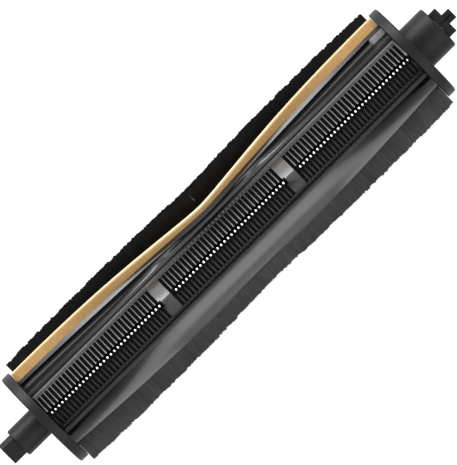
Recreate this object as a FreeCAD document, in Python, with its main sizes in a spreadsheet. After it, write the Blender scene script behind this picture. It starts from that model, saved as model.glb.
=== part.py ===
import FreeCAD, Part
import Sketcher

import math
import os

from FreeCAD import Placement, Rotation, Vector

os.makedirs("parts", exist_ok=True)

# A cleaning roller for a floor robot: a moulded core with two V-shaped rows of bristles, each with a
# rubber strip in front of it, two slotted combs between the rows, and sliding steel blades in the combs
# that a cam on the end axle drives while the roller turns.
# +X runs along the axis from the square drive end to the axle end, +Z is the front comb's crest and
# +Y is the side of the upper row. The origin is on the axis, at the middle of the whole length.

SIZES = {
    # End caps
    "flange_gap": (167.4, "distance between the inner faces of the two flanges"),
    "flange_radius": (18.85, "outer radius of both flanges"),
    "flange_thickness": (3.3, "thickness of both flanges"),
    "edge_break": (0.4, "chamfer on the outer edges of the caps"),
    "journal_radius": (5.4, "radius of the round neck at the drive end"),
    "journal_length": (10.7, "length of the round neck at the drive end"),
    "square_flats": (8.15, "drive square, across its flats"),
    "square_corner": (1.62, "corner cut of the drive square"),
    "square_length": (5.2, "length of the drive square"),
    "drive_spigot_length": (12.0, "depth of the drive cap's spigot in the core"),
    "spigot_clearance": (0.05, "radial clearance of both spigots in the bore"),
    "key_width": (2.4, "width of the two keys on the drive spigot"),
    "key_height": (1.3, "height of the keys above the spigot"),
    "key_clearance": (0.1, "clearance round the keys in the core"),
    "housing_radius": (8.25, "outer radius of the bearing housing"),
    "housing_length": (10.6, "length of the bearing housing"),
    "axle_spigot_length": (6.4, "depth of the bearing cap's spigot in the core"),
    "seat_depth": (9.0, "depth of the bush seat in the housing"),
    # Axle and cam
    "axle_radius": (3.0, "radius of the steel axle"),
    "axle_clearance": (0.05, "radial running clearance of the axle in its bush"),
    "passage_clearance": (0.3, "radial clearance of the axle where nothing guides it"),
    "bush_radius": (5.0, "outer radius of the bush and of its seat"),
    "bush_length": (8.2, "length of the bush"),
    "axle_gap": (0.2, "axial play between the turning caps and the axle's own pieces"),
    "boss_width": (10.3, "square boss of the axle head, across its flats"),
    "boss_length": (3.0, "length of the square boss"),
    "stub_width": (4.0, "square stub of the axle head, across its flats"),
    "stub_length": (3.2, "length of the square stub"),
    "head_socket_depth": (2.3, "depth of the axle in the head"),
    "split_width": (0.45, "width of the groove along the head"),
    "split_depth": (0.9, "depth of the groove along the head"),
    "split_start": (0.6, "distance from the boss's inner face to the groove"),
    "cam_radius": (4.55, "radius of the cam drum"),
    "cam_length": (9.0, "length of the cam drum"),
    "cam_groove_width": (1.7, "width of the inclined groove in the drum"),
    "cam_groove_depth": (1.1, "depth of the inclined groove in the drum"),
    "clip_thickness": (0.8, "thickness of the retaining clip"),
    "clip_radius": (4.3, "outer radius of the retaining clip"),
    "clip_groove_radius": (2.4, "radius of the axle in the clip's groove"),
    "clip_opening": (2.6, "width of the clip's open side"),
    "axle_tail": (1.4, "length of the axle past its clip"),
    # Core
    "overrun": (1.0, "length by which every cutting shape passes the face it opens"),
    "bore_radius": (4.9, "radius of the core's bore"),
    "slot_half_width": (8.1, "half width of the comb's slot in the core"),
    "slot_floor": (5.75, "height of the comb's seat above the axis"),
    "ledge_half_width": (9.0, "half width of the core's flat ledge beside the comb"),
    "ledge_height": (7.05, "height of that ledge above the axis"),
    # Rows, in a frame that turns with the row: across towards the strip's side, out from the axis
    "row_angle_middle": (69.5, "direction of a row at the middle of the roller, from the comb's crest"),
    "row_angle_end": (106.3, "direction of a row at the flange, from the comb's crest"),
    "bend_softness": (6.0, "length over which the V is rounded at the middle"),
    "station_crowding": (1.7, "power by which the sections of the V crowd towards the middle"),
    "tuft_tip_radius": (22.1, "distance of the bristles' tips from the axis"),
    "tuft_tip_width": (3.6, "width of a bristle row at its tips"),
    "tuft_root_width": (4.4, "width of a bristle row at its root"),
    "tuft_root_across": (-1.05, "middle of a bristle row's root, across"),
    "tuft_root_out": (13.45, "root of the bristles, out from the axis"),
    "row_end_gap": (0.9, "distance of a bristle row's end from the flange"),
    "row_middle_gap": (0.3, "gap between the two halves of a bristle row"),
    "back_depth": (1.5, "thickness of the bristles' backing bar"),
    "back_width": (5.6, "width of the bristles' backing bar"),
    "back_clearance": (0.05, "clearance round the backing bar in its channel"),
    "mouth_clearance": (0.3, "clearance beside the bristles in the channel's mouth"),
    "back_edge_across": (-4.68, "smooth back edge of an arm, across"),
    "back_edge_out": (15.3, "smooth back edge of an arm, out"),
    "rim_width": (0.65, "width of the narrow rim along that edge"),
    "arm_top_out": (15.45, "top of an arm behind the bristles, out"),
    "lip_root_across": (4.27, "edge of the arm where the strip comes out, across"),
    "lip_root_out": (13.8, "edge of the arm where the strip comes out, out"),
    "lip_nose_across": (5.02, "nose of the lip in front of the strip, across"),
    "lip_nose_out": (12.41, "nose of the lip in front of the strip, out"),
    "flank_across": (4.2, "recessed flank under the lip, across"),
    "flank_out": (11.6, "recessed flank under the lip, out"),
    "channel_leave": (-60.0, "direction of the channel's curve at the ledge, from level"),
    "shoulder_leave_middle": (20.0, "direction of the shoulder's curve at the ledge, middle of the roller"),
    "shoulder_leave_end": (70.0, "direction of the shoulder's curve at the ledge, at the flange"),
    "shoulder_arrive_middle": (65.0, "direction of the shoulder's curve at the arm, middle of the roller"),
    "shoulder_arrive_end": (0.0, "direction of the shoulder's curve at the arm, at the flange"),
    "curve_first_pull": (0.38, "pull of a curve's first end, as a share of its span"),
    "curve_last_pull": (0.42, "pull of a curve's last end, as a share of its span"),
    "strip_lean": (22.0, "lean of the rubber strip away from the bristles"),
    "strip_reach": (3.75, "length of the strip outside its slot"),
    "strip_depth": (2.2, "depth of the strip in its slot"),
    "strip_thickness": (0.9, "thickness of the rubber strip"),
    "strip_bevel": (0.35, "bevel on the strip's free edge"),
    "strip_clearance": (0.03, "clearance of the strip in its slot"),
    "strip_end_gap": (0.3, "distance of a strip's end from the flange"),
    "tab_length": (6.4, "length of a lock tab"),
    "tab_bevel": (1.2, "slope at the inner end of a lock tab"),
    "tab_inner": (10.7, "side of a lock tab towards the comb"),
    "tab_outer": (13.05, "side of a lock tab towards the strip"),
    "tab_top": (2.3, "height of a lock tab's face above the axis"),
    "tab_bottom": (0.9, "height of a lock tab's base above the axis"),
    # Combs
    "comb_end_gap": (0.2, "distance of a comb's end from the flange"),
    "side_gap": (0.3, "seam between a comb and the core"),
    "rail_width": (1.5, "width of a comb's side rail"),
    "lip_height": (7.4, "height of the rail's outer edge"),
    "fin_foot_height": (7.6, "height of the fins' feet"),
    "fin_foot_inset": (0.75, "distance of a fin's foot from the rail's outer side"),
    "fin_knee_half_width": (4.1, "half width of the comb at its knee"),
    "fin_knee_height": (12.7, "height of the knee"),
    "crest_height": (16.0, "height of the comb's crest"),
    "wall_foot": (1.05, "wall of the comb at its foot, across"),
    "tunnel_top": (15.0, "height of the tunnel over the blades"),
    "tooth_pitch": (1.6, "pitch of the fins and of the blades' teeth"),
    "fin_thickness": (0.5, "thickness of a fin"),
    "section_pitch": (57.36, "pitch of the comb's three sections"),
    "bridge_floor": (9.0, "underside of the bridges between the sections"),
    "bridge_overlap": (0.3, "depth of a bridge's block in the comb's wall"),
    "slit_reach": (0.85, "length by which the slit along the crest runs into a bridge"),
    # Blades
    "blade_thickness": (0.6, "thickness of both blades"),
    "blade_gap": (0.1, "gap between the sliding and the fixed blade"),
    "blade_offset": (0.4, "distance of the sliding blade's middle from the crest's plane"),
    "sliding_tip": (15.4, "height of the sliding blade's tooth tips"),
    "fixed_tip": (13.6, "height of the fixed blade's tooth tips"),
    "sliding_tooth_depth": (3.3, "depth of the sliding blade's teeth"),
    "fixed_tooth_depth": (1.7, "depth of the fixed blade's teeth"),
    "tooth_tip_width": (0.8, "width of a sliding tooth at its tip"),
    "tooth_root_width": (1.0, "width of a sliding tooth at its root"),
    "fixed_bottom": (8.6, "lower edge of the fixed blade"),
    "sliding_bottom": (6.7, "lower edge of the sliding blade"),
    "slide_stroke": (0.8, "travel of a sliding blade each way"),
    "fixed_end_gap": (0.2, "distance of a fixed blade's end from the flange"),
    "slide_end_gap": (1.4, "distance of a sliding blade's end from the flange"),
    "passage_gap": (0.2, "clearance of the sliding blade in the bridges"),
    "carrier_width": (3.2, "width of a blade carrier"),
    "carrier_top": (8.3, "height of a blade carrier's top"),
    "carrier_lift": (0.1, "clearance of a carrier over its floor"),
    "pin_radius": (0.7, "radius of the follower pin"),
    "pin_gap": (0.3, "distance of the follower pin from the drum"),
    "window_gap": (0.3, "clearance round the follower pin in the core"),
}

SECTIONS = 3
TEETH = 32

doc = FreeCAD.newDocument("roller_brush")
sheet = doc.addObject("Spreadsheet::Sheet", "sizes")
for row, (alias, (number, meaning)) in enumerate(SIZES.items(), start=1):
    sheet.set(f"A{row}", meaning)
    sheet.set(f"B{row}", str(number))
    sheet.setAlias(f"B{row}", alias)
doc.recompute()

HALF_GAP = "(sizes.flange_gap / 2)"
LEFT_LENGTH = "(sizes.journal_length + sizes.square_length)"
RIGHT_LENGTH = "(sizes.housing_length + sizes.axle_gap + sizes.boss_length + sizes.stub_length)"
MIDDLE_X = f"({LEFT_LENGTH} - {RIGHT_LENGTH}) / 2"

finished = {}


def size(expression):
    """The number that an expression of the sheet's values stands for."""
    return float(sheet.evalExpression(expression.replace("sizes.", "")))


def finish(item, name, turn=0.0):
    """Name a sub-part, place it along the axis and turn it about the axis."""
    item.Label = name
    item.Placement = Placement(Vector(size(MIDDLE_X), 0, 0), Rotation(Vector(1, 0, 0), turn))
    item.setExpression("Placement.Base.x", MIDDLE_X)
    finished[name] = item


def new_body(name):
    return doc.addObject("PartDesign::Body", name + "_body")


def plane_of(body, role):
    return [feature for feature in body.Origin.OriginFeatures if feature.Role == role][0]


def polygon_sketch(body, name, role, outlines, offset=None):
    """A sketch of closed outlines, each corner held by two expressions."""
    sketch = body.newObject("Sketcher::SketchObject", name)
    sketch.AttachmentSupport = [(plane_of(body, role), "")]
    sketch.MapMode = "FlatFace"
    if offset is not None:
        sketch.setExpression("AttachmentOffset.Base.z", offset)
    for corners in outlines:
        points = [Vector(size(across), size(up), 0) for across, up in corners]
        first = sketch.GeometryCount
        count = len(points)
        for index, point in enumerate(points):
            sketch.addGeometry(Part.LineSegment(point, points[(index + 1) % count]), False)
        for index in range(count):
            following = first + (index + 1) % count
            sketch.addConstraint(sketch_link(first + index, following))
        for index, (across, up) in enumerate(corners):
            bind(sketch, "DistanceX", first + index, points[index].x, across)
            bind(sketch, "DistanceY", first + index, points[index].y, up)
    return sketch


def sketch_link(before, after):
    return Sketcher.Constraint("Coincident", before, 2, after, 1)


def bind(sketch, kind, line, value, expression):
    number = sketch.addConstraint(Sketcher.Constraint(kind, line, 1, value))
    sketch.setExpression(f"Constraints[{number}]", expression)


def pad(body, name, sketch, length, symmetric=False, backwards=False):
    feature = body.newObject("PartDesign::Pad", name)
    feature.Profile = sketch
    feature.SideType = "Symmetric" if symmetric else "One side"
    feature.Reversed = backwards
    feature.setExpression("Length", length)
    return feature


def pocket(body, name, sketch, length, backwards=False):
    feature = body.newObject("PartDesign::Pocket", name)
    feature.Profile = sketch
    feature.Reversed = backwards
    feature.setExpression("Length", length)
    return feature


def pattern_along_axis(body, name, original, spacing, count):
    feature = body.newObject("PartDesign::LinearPattern", name)
    feature.Originals = [original]
    feature.Direction = (plane_of(body, "X_Axis"), [""])
    feature.Occurrences = count
    feature.setExpression("Length", f"{spacing} * {count - 1}")
    body.Tip = feature
    return feature


def revolve(body, name, corners):
    """A turned shape about the X axis, from corners given as distance along it and radius."""
    sketch = polygon_sketch(body, name + "_profile", "XY_Plane", [corners])
    feature = body.newObject("PartDesign::Revolution", name)
    feature.Profile = sketch
    feature.ReferenceAxis = (sketch, ["H_Axis"])
    feature.Angle = 360
    return feature


def box(name, x_from, x_to, y_from, y_to, z_from, z_to):
    """A block between six expressions."""
    block = doc.addObject("Part::Box", name)
    block.setExpression("Length", f"({x_to}) - ({x_from})")
    block.setExpression("Width", f"({y_to}) - ({y_from})")
    block.setExpression("Height", f"({z_to}) - ({z_from})")
    block.setExpression("Placement.Base.x", x_from)
    block.setExpression("Placement.Base.y", y_from)
    block.setExpression("Placement.Base.z", z_from)
    return block


def rod(name, radius, x_from, x_to):
    """A cylinder along the axis."""
    cylinder = doc.addObject("Part::Cylinder", name)
    cylinder.Placement = Placement(Vector(size(x_from), 0, 0), Rotation(Vector(0, 1, 0), 90))
    cylinder.setExpression("Radius", radius)
    cylinder.setExpression("Height", f"({x_to}) - ({x_from})")
    cylinder.setExpression("Placement.Base.x", x_from)
    return cylinder


def cut(name, base, tools):
    result = doc.addObject("Part::Cut", name)
    result.Base = base
    if len(tools) == 1:
        result.Tool = tools[0]
        return result
    joined = doc.addObject("Part::MultiFuse", name + "_tools")
    joined.Shapes = tools
    result.Tool = joined
    return result


def half_turned(name, item):
    """The same shape turned by half a turn about the axis."""
    copy = doc.addObject("Part::Feature", name)
    shape = item.Shape.copy()
    shape.rotate(Vector(0, 0, 0), Vector(1, 0, 0), 180)
    copy.Shape = shape
    return copy


# The V of the rows

HALF_LENGTH = size(HALF_GAP)
SOFT = size("sizes.bend_softness")
MIDDLE_ANGLE = size("sizes.row_angle_middle")
END_ANGLE = size("sizes.row_angle_end")


def soft_distance(x):
    """Distance from the middle, rounded where the V turns."""
    return math.sqrt(x * x + SOFT * SOFT) - SOFT


def share_of_twist(x):
    """0 at the middle of the roller and 1 at the flanges."""
    return soft_distance(x) / soft_distance(HALF_LENGTH)


def row_angle(x):
    return MIDDLE_ANGLE + (END_ANGLE - MIDDLE_ANGLE) * share_of_twist(x)


def row_point(x, across, out):
    """A point given across and out from the axis in the upper row's own frame at one place."""
    turn = math.radians(row_angle(x))
    y = out * math.sin(turn) - across * math.cos(turn)
    z = out * math.cos(turn) + across * math.sin(turn)
    return Vector(x, y, z)


LOFT_END = HALF_LENGTH + size("sizes.overrun")
HALF_PARTS = 6


def stations():
    """Places for the sections of everything that follows the V, closer together where it bends."""
    power = size("sizes.station_crowding")
    right = [LOFT_END * (part / HALF_PARTS) ** power for part in range(HALF_PARTS + 1)]
    return [-x for x in reversed(right[1:])] + right


def row_solid(corners, x_from, x_to):
    """A bar of one section that follows the upper row."""
    wires = []
    for x in stations():
        points = [row_point(x, across, out) for across, out in corners]
        wires.append(Part.makePolygon(points + points[:1]))
    whole = Part.makeLoft(wires, True, True)
    if x_to - x_from >= 2 * LOFT_END:
        return whole
    width = 4 * size("sizes.flange_radius")
    corner = Vector(x_from, -width / 2, -width / 2)
    return whole.common(Part.makeBox(x_to - x_from, width, width, corner))


def row_feature(name, corners, x_from, x_to):
    feature = doc.addObject("Part::Feature", name)
    feature.Shape = row_solid(corners, x_from, x_to)
    return feature


# Sections in the row's frame

def back_channel_corners():
    """Outline of the channel that the bristles' backing slides into."""
    middle = size("sizes.tuft_root_across")
    clearance = size("sizes.back_clearance")
    half = size("sizes.back_width") / 2 + clearance
    top = size("sizes.tuft_root_out")
    bottom = top - size("sizes.back_depth") - clearance
    return [(middle - half, bottom), (middle + half, bottom), (middle + half, top), (middle - half, top)]


def mouth_corners():
    """Outline of the channel's mouth, which the bristles come out of."""
    middle = size("sizes.tuft_root_across")
    half = size("sizes.tuft_root_width") / 2 + size("sizes.mouth_clearance")
    root = size("sizes.tuft_root_out") - size("sizes.back_depth") / 2
    top = size("sizes.arm_top_out + sizes.overrun")
    return [(middle - half, root), (middle + half, root), (middle + half, top), (middle - half, top)]


def bristle_row_corners():
    """Outline of a bristle row: its backing bar, with the dense filaments standing on it."""
    middle = size("sizes.tuft_root_across")
    bar_half = size("sizes.back_width") / 2
    root_half = size("sizes.tuft_root_width") / 2
    tip_half = size("sizes.tuft_tip_width") / 2
    root = size("sizes.tuft_root_out")
    bottom = root - size("sizes.back_depth")
    tip = size("sizes.tuft_tip_radius")
    return [
        (middle - bar_half, bottom),
        (middle + bar_half, bottom),
        (middle + bar_half, root),
        (middle + root_half, root),
        (tip_half, tip),
        (-tip_half, tip),
        (middle - root_half, root),
        (middle - bar_half, root),
    ]


def strip_frame(along, behind):
    """A point of the leaning strip: along it from the lip's edge, and behind its front face."""
    lean = math.radians(size("sizes.strip_lean"))
    across = size("sizes.lip_root_across") + along * math.sin(lean) - behind * math.cos(lean)
    out = size("sizes.lip_root_out") + along * math.cos(lean) + behind * math.sin(lean)
    return across, out


def strip_corners():
    reach = size("sizes.strip_reach")
    depth = size("sizes.strip_depth")
    thick = size("sizes.strip_thickness")
    bevel = size("sizes.strip_bevel")
    front = size("sizes.strip_clearance")
    outline = [
        (-depth, front),
        (reach - bevel, front),
        (reach, front + bevel),
        (reach, thick),
        (-depth, thick),
    ]
    return [strip_frame(along, behind) for along, behind in outline]


def strip_slot_corners():
    depth = size("sizes.strip_depth")
    open_end = size("sizes.overrun")
    thick = size("sizes.strip_thickness") + size("sizes.strip_clearance")
    outline = [(-depth, 0.0), (open_end, 0.0), (open_end, thick), (-depth, thick)]
    return [strip_frame(along, behind) for along, behind in outline]


# Core

CURVE_PARTS = 5


def blend_curve(start, leave, end, arrive):
    """Points of a smooth curve between two points with given directions there."""
    reach = start.distanceToPoint(end)
    curve = Part.BezierCurve()
    first = start + leave * (size("sizes.curve_first_pull") * reach)
    last = end - arrive * (size("sizes.curve_last_pull") * reach)
    curve.setPoles([start, first, last, end])
    return [curve.value(part / CURVE_PARTS) for part in range(CURVE_PARTS + 1)]


def slope(degrees):
    """A direction across the roller, given by its angle from level."""
    return Vector(0, math.cos(math.radians(degrees)), math.sin(math.radians(degrees)))


def half_core_points(x):
    """Half of the core's outline, from one comb's ledge round the upper row to the other comb's ledge."""
    share = share_of_twist(x)
    leave = [size("sizes.shoulder_leave_middle"), size("sizes.shoulder_leave_end")]
    arrive = [size("sizes.shoulder_arrive_middle"), size("sizes.shoulder_arrive_end")]
    ledge_y = size("sizes.ledge_half_width")
    ledge_z = size("sizes.ledge_height")
    front_ledge = Vector(x, ledge_y, ledge_z)
    back_ledge = Vector(x, ledge_y, -ledge_z)
    flank = row_point(x, size("sizes.flank_across"), size("sizes.flank_out"))
    nose = row_point(x, size("sizes.lip_nose_across"), size("sizes.lip_nose_out"))
    lip = row_point(x, size("sizes.lip_root_across"), size("sizes.lip_root_out"))
    edge_across = size("sizes.back_edge_across")
    edge = row_point(x, edge_across, size("sizes.back_edge_out"))
    rim = row_point(x, edge_across + size("sizes.rim_width"), size("sizes.arm_top_out"))
    outwards = row_point(x, 0.0, 1.0) - Vector(x, 0, 0)
    channel = blend_curve(front_ledge, slope(size("sizes.channel_leave")), flank, outwards)
    shoulder_leave = slope(leave[0] + (leave[1] - leave[0]) * share)
    shoulder_arrive = slope(arrive[0] + (arrive[1] - arrive[0]) * share)
    shoulder = blend_curve(back_ledge, shoulder_leave, edge, shoulder_arrive)
    return channel + [nose, lip, rim] + list(reversed(shoulder))


def core_outline(x):
    upper = half_core_points(x)
    lower = [Vector(x, -point.y, -point.z) for point in upper]
    points = upper + lower
    return Part.makePolygon(points + points[:1])


def make_core():
    outline = doc.addObject("Part::Feature", "core_outline")
    whole = Part.makeLoft([core_outline(x) for x in stations()], True, True)
    width = 4 * size("sizes.flange_radius")
    corner = Vector(-HALF_LENGTH, -width / 2, -width / 2)
    outline.Shape = whole.common(Part.makeBox(2 * HALF_LENGTH, width, width, corner))
    channel = row_feature("back_channel", back_channel_corners(), -LOFT_END, LOFT_END)
    mouth = row_feature("channel_mouth", mouth_corners(), -LOFT_END, LOFT_END)
    strip_slot = row_feature("strip_slot", strip_slot_corners(), -LOFT_END, LOFT_END)
    tools = [channel, mouth, strip_slot]
    tools += [half_turned(tool.Name + "_lower", tool) for tool in list(tools)]
    ends = (f"-{HALF_GAP} - sizes.overrun", f"{HALF_GAP} + sizes.overrun")
    half = "sizes.slot_half_width"
    floor = "sizes.slot_floor"
    tools.append(box("front_slot", *ends, f"-{half}", half, floor, "sizes.crest_height"))
    tools.append(box("back_slot", *ends, f"-{half}", half, "-sizes.crest_height", f"-{floor}"))
    tools.append(rod("bore", "sizes.bore_radius", *ends))
    reach = "(sizes.pin_radius + sizes.slide_stroke + sizes.window_gap)"
    side = "(sizes.pin_radius + sizes.window_gap)"
    window = (f"{CAM_X} - {reach}", f"{CAM_X} + {reach}", f"-{side}", side)
    tools.append(box("pin_windows", *window, f"-{floor} - sizes.overrun", f"{floor} + sizes.overrun"))
    key = "(sizes.bore_radius - sizes.spigot_clearance + sizes.key_height + sizes.key_clearance)"
    key_side = "(sizes.key_width / 2 + sizes.key_clearance)"
    key_end = f"-{HALF_GAP} + sizes.drive_spigot_length + sizes.key_clearance"
    tools.append(box("keyway", ends[0], key_end, f"-{key}", key, f"-{key_side}", key_side))
    tab_ends = (f"{HALF_GAP} - sizes.tab_length", HALF_GAP)
    tools.append(box("upper_tab_seat", *tab_ends, "sizes.tab_inner", "sizes.tab_outer",
                     "sizes.tab_bottom", "sizes.tab_top"))
    tools.append(box("lower_tab_seat", *tab_ends, "-sizes.tab_outer", "-sizes.tab_inner",
                     "-sizes.tab_top", "-(sizes.tab_bottom)"))
    finish(cut("core", outline, tools), "core_body")


def make_lock_tabs():
    for name, turn in (("lock_tab_upper", 0.0), ("lock_tab_lower", 180.0)):
        body = new_body(name)
        x_to = HALF_GAP
        x_from = f"({HALF_GAP} - sizes.tab_length)"
        outline = [
            (x_from, "sizes.tab_bottom"),
            (x_to, "sizes.tab_bottom"),
            (x_to, "sizes.tab_top"),
            (f"{x_from} + sizes.tab_bevel", "sizes.tab_top"),
        ]
        sketch = polygon_sketch(body, name + "_side", "XZ_Plane", [outline], "-sizes.tab_outer")
        pad(body, name + "_block", sketch, "sizes.tab_outer - sizes.tab_inner")
        finish(body, name, turn)


# Rows

def make_rows():
    far = HALF_LENGTH - size("sizes.row_end_gap")
    near = size("sizes.row_middle_gap") / 2
    halves = {"left": (-far, -near), "right": (near, far)}
    strip_end = HALF_LENGTH - size("sizes.strip_end_gap")
    for row, turn in (("upper", 0.0), ("lower", 180.0)):
        strip = row_feature("strip_" + row, strip_corners(), -strip_end, strip_end)
        finish(strip, "rubber_strip_" + row, turn)
        for side, (x_from, x_to) in halves.items():
            half = row_feature(f"bristles_{row}_{side}", bristle_row_corners(), x_from, x_to)
            finish(half, f"bristle_row_{row}_{side}", turn)


# Combs

FIRST_TOOTH = f"(-sizes.section_pitch - sizes.tooth_pitch * {TEETH - 1} / 2)"
COMB_HALF = "(sizes.slot_half_width - sizes.side_gap)"
COMB_LENGTH = "(sizes.flange_gap - 2 * sizes.comb_end_gap)"
RAIL_INNER = f"({COMB_HALF} - sizes.rail_width)"
FOOT_HALF = f"({COMB_HALF} - sizes.fin_foot_inset)"
TUNNEL_FOOT = f"({FOOT_HALF} - sizes.wall_foot)"
BETWEEN_BLADES = "(sizes.blade_offset - sizes.blade_thickness / 2 - sizes.blade_gap / 2)"
TUNNEL_RISE = "(sizes.tunnel_top - sizes.fin_foot_height)"
BRIDGE_SHARE = f"((sizes.tunnel_top - sizes.bridge_floor) / {TUNNEL_RISE})"
BRIDGE_WIDTH = f"(sizes.section_pitch - sizes.tooth_pitch * {TEETH + 1} + sizes.fin_thickness)"
GAP_WIDTH = "(sizes.tooth_pitch - sizes.fin_thickness)"
FIXED_FACE = "(-sizes.blade_offset + sizes.blade_thickness * 3 / 2 + sizes.blade_gap)"
SLIDING_SIDE = "(sizes.blade_offset + sizes.blade_thickness / 2 + sizes.passage_gap)"
CAM_X = f"({HALF_GAP} - sizes.axle_spigot_length - sizes.axle_gap - sizes.cam_length / 2)"


def across_the_middle(points):
    """The outline mirrored across the comb's middle plane, in the opposite order."""
    return [(f"-{across}", up) for across, up in reversed(points)]


def bridge_block(side, run, face):
    """Outline of a bridge's filling on one side of the blades, sunk a little into the comb's wall."""
    foot = f"({run} * {BRIDGE_SHARE} - {side}{BETWEEN_BLADES} + sizes.bridge_overlap)"
    top = f"(sizes.bridge_floor + ({foot} - {face}) * {TUNNEL_RISE} / {run})"
    return foot, top


def make_comb(name, turn):
    body = new_body(name)
    outer = [
        (COMB_HALF, "sizes.slot_floor"),
        (COMB_HALF, "sizes.lip_height"),
        (FOOT_HALF, "sizes.fin_foot_height"),
        ("sizes.fin_knee_half_width", "sizes.fin_knee_height"),
    ]
    inner = [
        (TUNNEL_FOOT, "sizes.fin_foot_height"),
        (RAIL_INNER, "sizes.fin_foot_height - sizes.wall_foot"),
        (RAIL_INNER, "sizes.slot_floor"),
    ]
    crest = [("0", "sizes.crest_height")]
    tunnel_top = [(f"-{BETWEEN_BLADES}", "sizes.tunnel_top")]
    section = outer + crest + across_the_middle(outer) + across_the_middle(inner) + tunnel_top + inner
    roof = polygon_sketch(body, name + "_section", "YZ_Plane", [section])
    pad(body, name + "_roof", roof, COMB_LENGTH, symmetric=True)

    right_foot, right_top = bridge_block("", f"({TUNNEL_FOOT} + {BETWEEN_BLADES})", FIXED_FACE)
    right_block = [
        (FIXED_FACE, "sizes.bridge_floor"),
        (right_foot, "sizes.bridge_floor"),
        (FIXED_FACE, right_top),
    ]
    left_foot, left_top = bridge_block("-", f"({TUNNEL_FOOT} - {BETWEEN_BLADES})", SLIDING_SIDE)
    left_block = [
        (f"-{SLIDING_SIDE}", "sizes.bridge_floor"),
        (f"-{SLIDING_SIDE}", left_top),
        (f"-{left_foot}", "sizes.bridge_floor"),
    ]
    bridge_start = f"(-sizes.section_pitch / 2 - sizes.tooth_pitch / 2 - {BRIDGE_WIDTH} / 2)"
    blocks = polygon_sketch(body, name + "_bridge", "YZ_Plane", [right_block, left_block], bridge_start)
    bridge = pad(body, name + "_bridge_blocks", blocks, BRIDGE_WIDTH)
    bridge.AllowMultiFace = True
    pattern_along_axis(body, name + "_bridges", bridge, "sizes.section_pitch", SECTIONS - 1)

    gaps = []
    slits = []
    for number in range(SECTIONS):
        middle = f"{FIRST_TOOTH} + sizes.section_pitch * {number} - sizes.tooth_pitch"
        low = f"{middle} - {GAP_WIDTH} / 2"
        high = f"{middle} + {GAP_WIDTH} / 2"
        end = f"{high} + sizes.tooth_pitch * {TEETH} + sizes.slit_reach"
        foot, side = f"-{FOOT_HALF}", f"-{SLIDING_SIDE}"
        gaps.append([(low, foot), (high, foot), (high, FOOT_HALF), (low, FOOT_HALF)])
        slits.append([(low, side), (end, side), (end, FIXED_FACE), (low, FIXED_FACE)])
    slit_sketch = polygon_sketch(body, name + "_slit", "XY_Plane", slits, "sizes.fin_foot_height")
    pocket(body, name + "_crest_slits", slit_sketch, "sizes.crest_height", backwards=True)
    gap_sketch = polygon_sketch(body, name + "_gap", "XY_Plane", gaps, "sizes.fin_foot_height")
    first_gaps = pocket(body, name + "_first_gaps", gap_sketch, "sizes.crest_height", backwards=True)
    pattern_along_axis(body, name + "_gaps", first_gaps, "sizes.tooth_pitch", TEETH + 1)
    finish(body, name, turn)


# Blades

SLIDE_HALF = f"({HALF_GAP} - sizes.slide_end_gap)"
FIXED_HALF = f"({HALF_GAP} - sizes.fixed_end_gap)"


def make_blade(name, turn, half, bottom, tip, back_face, tooth, first_tooth, count):
    """A toothed steel strip on edge, with a group of teeth for each section of the comb."""
    body = new_body(name)
    depth, root_width, tip_width = tooth
    root = f"({tip} - {depth})"
    strip = [(f"-{half}", bottom), (half, bottom), (half, root), (f"-{half}", root)]
    plate = polygon_sketch(body, name + "_outline", "XZ_Plane", [strip], back_face)
    pad(body, name + "_strip", plate, "sizes.blade_thickness")
    teeth = []
    for number in range(SECTIONS):
        middle = f"{first_tooth} + sizes.section_pitch * {number}"
        outline = [
            (f"{middle} - {root_width} / 2", root),
            (f"{middle} + {root_width} / 2", root),
        ]
        if tip_width:
            outline.append((f"{middle} + {tip_width} / 2", tip))
            outline.append((f"{middle} - {tip_width} / 2", tip))
        else:
            outline.append((middle, tip))
        teeth.append(outline)
    tooth_sketch = polygon_sketch(body, name + "_tooth", "XZ_Plane", teeth, back_face)
    first_teeth = pad(body, name + "_first_teeth", tooth_sketch, "sizes.blade_thickness")
    pattern_along_axis(body, name + "_teeth", first_teeth, "sizes.tooth_pitch", count)
    finish(body, name, turn)


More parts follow.
